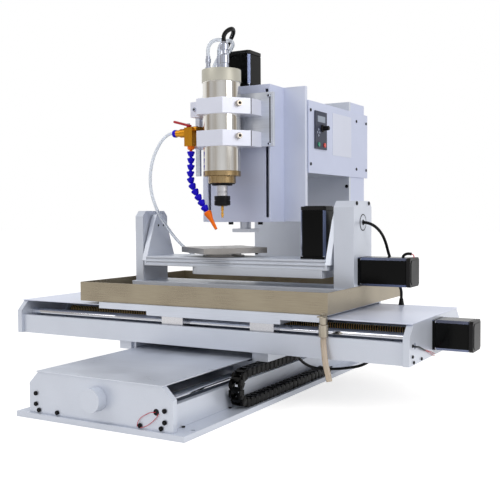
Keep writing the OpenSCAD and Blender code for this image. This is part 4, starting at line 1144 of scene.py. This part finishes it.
@dataclass
class Keypad:
    """The control panel's display, its four keys and its knob.

    Attributes:
        face: The X of the panel's face.
        cross: The Y and Z of the keys' middle.
    """

    face: float = 138.8
    cross: tuple[float, float] = (604.0, 544.5)

    def build(self) -> None:
        """Makes the display, the keys and the knob."""
        x, (y, z) = self.face, self.cross
        Surface().block((x, 599.5, 568), (x + 0.6, 639.5, 582)).piece(
            "display", DISPLAY, "frame", (), 0.2)
        keys = Surface()
        for p, q in ((0, 6.5), (0, -6.5), (-5.5, 0), (5.5, 0)):
            keys.turn((x, y + p, z + q), X, [(0.2, 3.7, 4), (1.0, 3.1, 4)], 8)
        keys.piece("keys", KEY, "frame", (), 0.4)
        Surface().turn((x, 623.5, 555), X, [
            (0.3, 8.2), (2.4, 8.4), (3.6, 7.2), (4.2, 5.6, 12),
            (16.4, 5.0, 12), (17.2, 4.2, 12)], 48).piece(
                "speed_knob", BLACK, "knob", ("keypad_knob",))


class Fasteners:
    """The socket screws of every body."""

    def build(self) -> None:
        """Makes the screws of each body, placed by the seats of their heads."""
        frame = Screws("frame_socket_screws", "frame", BLACKENED)
        frame.put([(s * x, 7, z) for s in SIDES for x, z in
                   ((141, 26), (141, 45), (91, 15.5), (134, 15.5))], -Y, 8, 2.5)
        frame.put([(s * 149, 48 + 150 * k, 10) for s in SIDES for k in range(6)],
                  Z, 6, 2)
        frame.put([(s * 127, 793, 94 + 168 * k) for s in SIDES for k in range(4)],
                  -Y, 8, 2.5)
        for s in SIDES:
            frame.put([(s * 136, y, z) for y in (569, 832, 896) for z in (473, 591)],
                      s * X, 7, 1.5)
        frame.put([(s * 38, 516, 346) for s in SIDES], -Z, 11, 6).build()
        beam = Screws("beam_socket_screws", "y_axis", BLACKENED)
        for s in SIDES:
            beam.put([(s * 460, y, z) for near, z in
                      ((292.6, 133.4), (292.7, 114.6), (298.8, 103.9), (342, 103.8))
                      for y in (near, 867 - near)], s * X, 6, 2)
        beam.build()
        Screws("post_socket_screws", "x_axis", BLACKENED).put(
            [(300, y, 383) for y in (432, 496)], X, 8, 2).put(
                [(-232, y, 367) for y in (432, 496)], -X, 8, 2).build()
        Screws("clamp_screws", "z_axis", BRIGHT_SCREW).put(
            [(49.0, 403.6, z + 20.5) for z in CLAMPS], unit((49.4, -38.0, 0.0)),
            13.0, 10.0).build()
        Screws("ear_screws", "z_axis", NICKEL).put(
            [(-66, 414.2, z + 16.5) for z in CLAMPS], -Y, 9.5, 3.0).build()
        Screws("arm_socket_screws", "cradle", BLACKENED).put(
            [(-196, y, 339) for y in (456.4, 475.9)], X, 5, 0.8).build()
        Screws("slide_socket_screws", "z_axis", NICKEL).put(
            [(s * 85, 471, z) for s in SIDES for z in (614, 512)], -Y, 8, 3).build()


@dataclass
class Trim:
    """The tilt motor's wires, collars, bushes, seams, slits and the bare plate.

    Attributes:
        hub: The middle of the hole in the right post.
    """

    hub: Point = (299.6, 465.0, 345.0)

    def build(self) -> None:
        """Makes each of them on the body that holds it."""
        sleeve = smooth(np.array([(381, 470, 275.5), (383, 470, 280), (387.5, 470, 283),
                                  (393, 470, 284), (399, 470, 283.4)]), 0.8)
        Surface().tube(sleeve, 2.8, Y, 12).piece("tilt_sleeve", RUBBER, "x_axis")
        for finish, y in ((WIRE_RED, 469.2), (WIRE_PINK, 471.4)):
            wire = smooth(np.array([(397.5, y, 283.4), (401.5, y, 282.4),
                                    (403.4, y, 279.6), (403.6, y, 275.8)]), 0.5)
            Surface().tube(wire, 0.75, Y, 8).piece(
                f"tilt_{finish.name}", finish, "x_axis")
        Surface().turn((-104.5, 402, 538), -X, [
            (0, 7.8), (0.6, 8.4), (5.0, 8.4), (6.0, 7.6), (7.8, 7.6),
            (8.4, 6.8)]).piece("push_ring", BLUE, "z_axis")
        Surface().turn((123.6, 7.2, 41), -Y, [
            (0, 5.2), (0.8, 5.2), (1.2, 4.7), (1.2, 2.8), (0.4, 2.6)]).piece(
                "base_bush", RUBBER, "frame")
        Surface().turn(self.hub, X, [
            (0, 14.6), (0.9, 14.6), (0.9, 16.8), (0, 16.8), (0, 14.6)],
            48, False).piece("hub_seam", SEAM, "x_axis")
        Surface().turn(self.hub, X, [(0, 5.6), (1.4, 5.6), (2.0, 5.0)]).piece(
            "hub_bush", RUBBER, "x_axis")
        Surface().block((86.2, 470.5, 513), (88.8, 471.3, 617)).piece(
            "slide_seam", SEAM, "z_axis", (), 0.2)
        split = Surface()
        for z in CLAMPS:
            split.block((60, 426.9, z + 0.4), (66.9, 428.5, z + 32.6))
        split.piece("clamp_split", SEAM, "z_axis", (), 0.2)
        Surface().block((135.8, 687, 499), (136.6, 799, 597)).piece(
            "bare_plate", PALE, "frame", (), 0.3)


@dataclass
class Valve:
    """The coolant valve's dipped handle and its nut.

    Attributes:
        lean: How far the handle hangs at its outer end, in degrees.
        axis: X and Y of the valve's spindle.
        half: Half the handle's length and half its width.
    """

    lean: float = 15.0
    axis: tuple[float, float] = (-74.5, 402.0)
    half: tuple[float, float] = (22.5, 5.0)

    def build(self) -> None:
        """Makes the handle and the nut.

        The outline is (a sgn(cos t) |cos t|^0.35, b sgn(sin t) |sin t|^0.35).
        """
        lean = math.radians(self.lean)
        along = np.array([math.cos(lean), 0, -math.sin(lean)])
        t = np.linspace(0, 2 * math.pi, 40, endpoint=False)
        wave = np.stack([np.cos(t), np.sin(t)], axis=1)
        outline = np.sign(wave) * np.abs(wave) ** 0.35 * self.half
        handle = Surface().prism(
            outline, np.array((-72.5, 402, 551.0)) - 18.5 * along, along, Y,
            [(0, 2.0), (0.5, 0.6), (1.2, 0), (3.8, 0), (4.6, 0.6), (5.1, 2.0)])
        handle.turn((*self.axis, 549.3), Z, [(0, 4), (3, 4)], 24)
        handle.piece("dipped_handle", RED, "lever", ("valve_lever",))
        Surface().turn((*self.axis, 555.5), Z, [
            (0, 3.6, 6), (2.4, 3.6, 6), (2.8, 3.2, 6)], 24).piece(
                "handle_nut", NICKEL, "lever")


@dataclass
class Drain:
    """The drain under the tray's corner.

    Attributes:
        place: X and Y of its axis.
        tab: How far its tab lies under the fitting's top.
    """

    place: tuple[float, float] = (299.0, 277.0)
    tab: float = 12.0

    def build(self) -> None:
        """Makes the tab with its raised edge and the turned sleeve."""
        low, high = box("drain_fitting")
        top = high[2] - self.tab
        made = Surface().block((low[0], 268, top - 2), (302, 289, top))
        made.block((low[0], 286.8, top - 1.9), (302, 288.9, top + 4))
        made.turn((*self.place, low[2]), Z, [
            (0, 5.6), (0, 8.4), (0.8, 9.0), (21.5, 9.0), (22.4, 8.2), (23.0, 6.6),
            (24.2, 6.6), (24.6, 7.5), (36.1, 7.5), (36.1, 5.6), (0, 5.6)], 32, False)
        made.piece("drain_sleeve", SLEEVE, "x_axis", ("drain_fitting",))


# ---- the studio


@dataclass
class Studio:
    """The camera, the floor and the lamps.

    Attributes:
        eye: The camera's place.
        yaw: Turn of the view to the left of +Y, in degrees.
        down: Tilt of the view below the horizon, in degrees.
        roll: Roll of the camera, in degrees.
        lens: Focal length on a sensor of 36 mm.
        glow: How bright the floor shows by itself, for the rays that see it.
    """

    eye: Point = (0.905, -1.5045, 0.361)
    yaw: float = 29.73
    down: float = 2.47
    roll: float = -0.36
    lens: float = 58.24
    glow: float = 0.66

    def camera(self) -> None:
        """Places the camera by its yaw, tilt and roll, and makes it the scene's."""
        data = bpy.data.cameras.new("eye")
        data.lens = self.lens
        data.sensor_width = 36.0
        data.clip_end = 60.0
        lens = bpy.data.objects.new("eye", data)
        turn = Matrix.Rotation(math.radians(self.yaw), 4, "Z")
        tilt = Matrix.Rotation(math.radians(90.0 - self.down), 4, "X")
        spin = Matrix.Rotation(math.radians(self.roll), 4, "Z")
        lens.matrix_world = Matrix.Translation(self.eye) @ turn @ tilt @ spin
        bpy.context.scene.collection.objects.link(lens)
        bpy.context.scene.camera = lens

    @staticmethod
    def seen(tree: bpy.types.NodeTree, *kinds: str) -> bpy.types.NodeSocket:
        """Adds nodes that give 1 for rays of any of the kinds.

        Args:
            tree: The nodes they are added to.
            kinds: Outputs of the Light Path node.

        Returns:
            Their socket.
        """
        path = add(tree, "LightPath")
        whole = path.outputs[kinds[0]]
        for kind in kinds[1:]:
            whole = add(tree, "Math", {0: whole, 1: path.outputs[kind]},
                        operation="MAXIMUM").outputs[0]
        return whole

    def floor(self) -> None:
        """Lays a plain pale floor that keeps the machine's shadow."""
        half = 14.0
        mesh = bpy.data.meshes.new("floor")
        mesh.from_pydata([(-half, -half, 0), (half, -half, 0), (half, half, 0),
                          (-half, half, 0)], [], [(0, 1, 2, 3)])
        plane = bpy.data.objects.new("floor", mesh)
        bpy.context.scene.collection.objects.link(plane)
        paint = bpy.data.materials.new("floor_paint")
        paint.use_nodes = True
        tree = paint.node_tree
        tree.nodes.clear()
        shows = self.seen(tree, "Is Camera Ray", "Is Glossy Ray", "Is Transmission Ray")
        lift = add(tree, "Math", {0: shows, 1: self.glow}, operation="MULTIPLY")
        matt = add(tree, "BsdfDiffuse", {"Color": (0.62, 0.60, 0.57, 1)})
        glow = add(tree, "Emission", {"Strength": lift.outputs[0]})
        both = add(tree, "AddShader", {0: matt.outputs[0], 1: glow.outputs[0]})
        add(tree, "OutputMaterial", {"Surface": both.outputs[0]})
        mesh.materials.append(paint)

    def world(self) -> None:
        """Makes the surround: white where it is seen, and softer where it lights.

        Diffuse light is a pale grey that brightens upwards. Gloss shows white on the
        side behind the machine and a warm grey on the camera's side.
        """
        world = bpy.data.worlds.new("surround")
        bpy.context.scene.world = world
        world.use_nodes = True
        tree = world.node_tree
        place = add(tree, "TexCoord").outputs["Generated"]

        def along(axis: Point, stops: list[tuple[float, tuple[float, ...]]]
                  ) -> bpy.types.NodeSocket:
            """Adds a colour ramp along a direction, over -1 to 1."""
            dot = add(tree, "VectorMath", {0: place, 1: axis}, operation="DOT_PRODUCT")
            fit = add(tree, "MapRange", {"Value": dot.outputs["Value"],
                                         "From Min": -1.0})
            return ramp(tree, fit.outputs[0], stops)

        soft = along((0, 0, 1), [(0.5, (0.42, 0.42, 0.43, 1)),
                                 (1.0, (0.86, 0.89, 0.96, 1))])
        gloss = along((-0.5, 0.866, 0), [
            (0.0, (0.74, 0.75, 0.78, 1)), (0.10, (0.50, 0.48, 0.46, 1)),
            (0.30, (0.60, 0.60, 0.62, 1)), (0.50, (0.34, 0.29, 0.23, 1)),
            (0.62, (0.70, 0.69, 0.68, 1)), (0.72, (1.0, 1.0, 1.0, 1))])
        colour = soft
        for kinds, other in ((("Is Glossy Ray",), gloss),
                             (("Is Camera Ray", "Is Transmission Ray"), (1, 1, 1, 1))):
            colour = add(tree, "Mix", {"Factor": self.seen(tree, *kinds), "A": colour,
                                       "B": other}, data_type="RGBA").outputs["Result"]
        fill(tree.nodes["Background"], {"Color": colour, "Strength": 1.0})

    def lamp(self, name: str, place: Point, size: float, power: float,
             colour: Rgb) -> None:
        """Hangs a square soft lamp that looks at the middle of the machine.

        Args:
            name: The lamp's name.
            place: Where it hangs.
            size: Its side.
            power: Its power in watts.
            colour: Its colour.
        """
        data = bpy.data.lights.new(name, "AREA")
        data.size = size
        data.energy = power
        data.color = colour
        lamp = bpy.data.objects.new(name, data)
        aim = Vector((0.0, 0.0, 0.3)) - Vector(place)
        lamp.matrix_world = (Matrix.Translation(place)
                             @ aim.to_track_quat("-Z", "Y").to_matrix().to_4x4())
        bpy.context.scene.collection.objects.link(lamp)

    def surround(self) -> None:
        """Sets up the floor, the world and the lamps."""
        self.floor()
        self.world()
        self.lamp("key", (-1.6, -2.2, 2.6), 1.8, 26.0, (1.0, 0.99, 0.97))
        self.lamp("fill", (2.8, -0.6, 1.6), 1.6, 30.0, (1.0, 0.99, 0.98))
        bpy.context.scene.view_settings.view_transform = "Standard"


# ---- running


def main() -> None:
    """Builds the studio and the machine's looks in order."""
    logging.basicConfig(level=logging.INFO, format="%(name)s: %(message)s")
    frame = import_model()
    studio = Studio()
    studio.camera()
    Coil().fitting()
    for line in LINES:
        line.build()
    Trim().build()
    Valve().build()
    Drain().build()
    studio.surround()
    dress(frame)
    DragChain().build(frame)
    Spindle().build()
    Drives().build()
    Keypad().build()
    Fasteners().build()


if __name__ == "__main__":
    main()
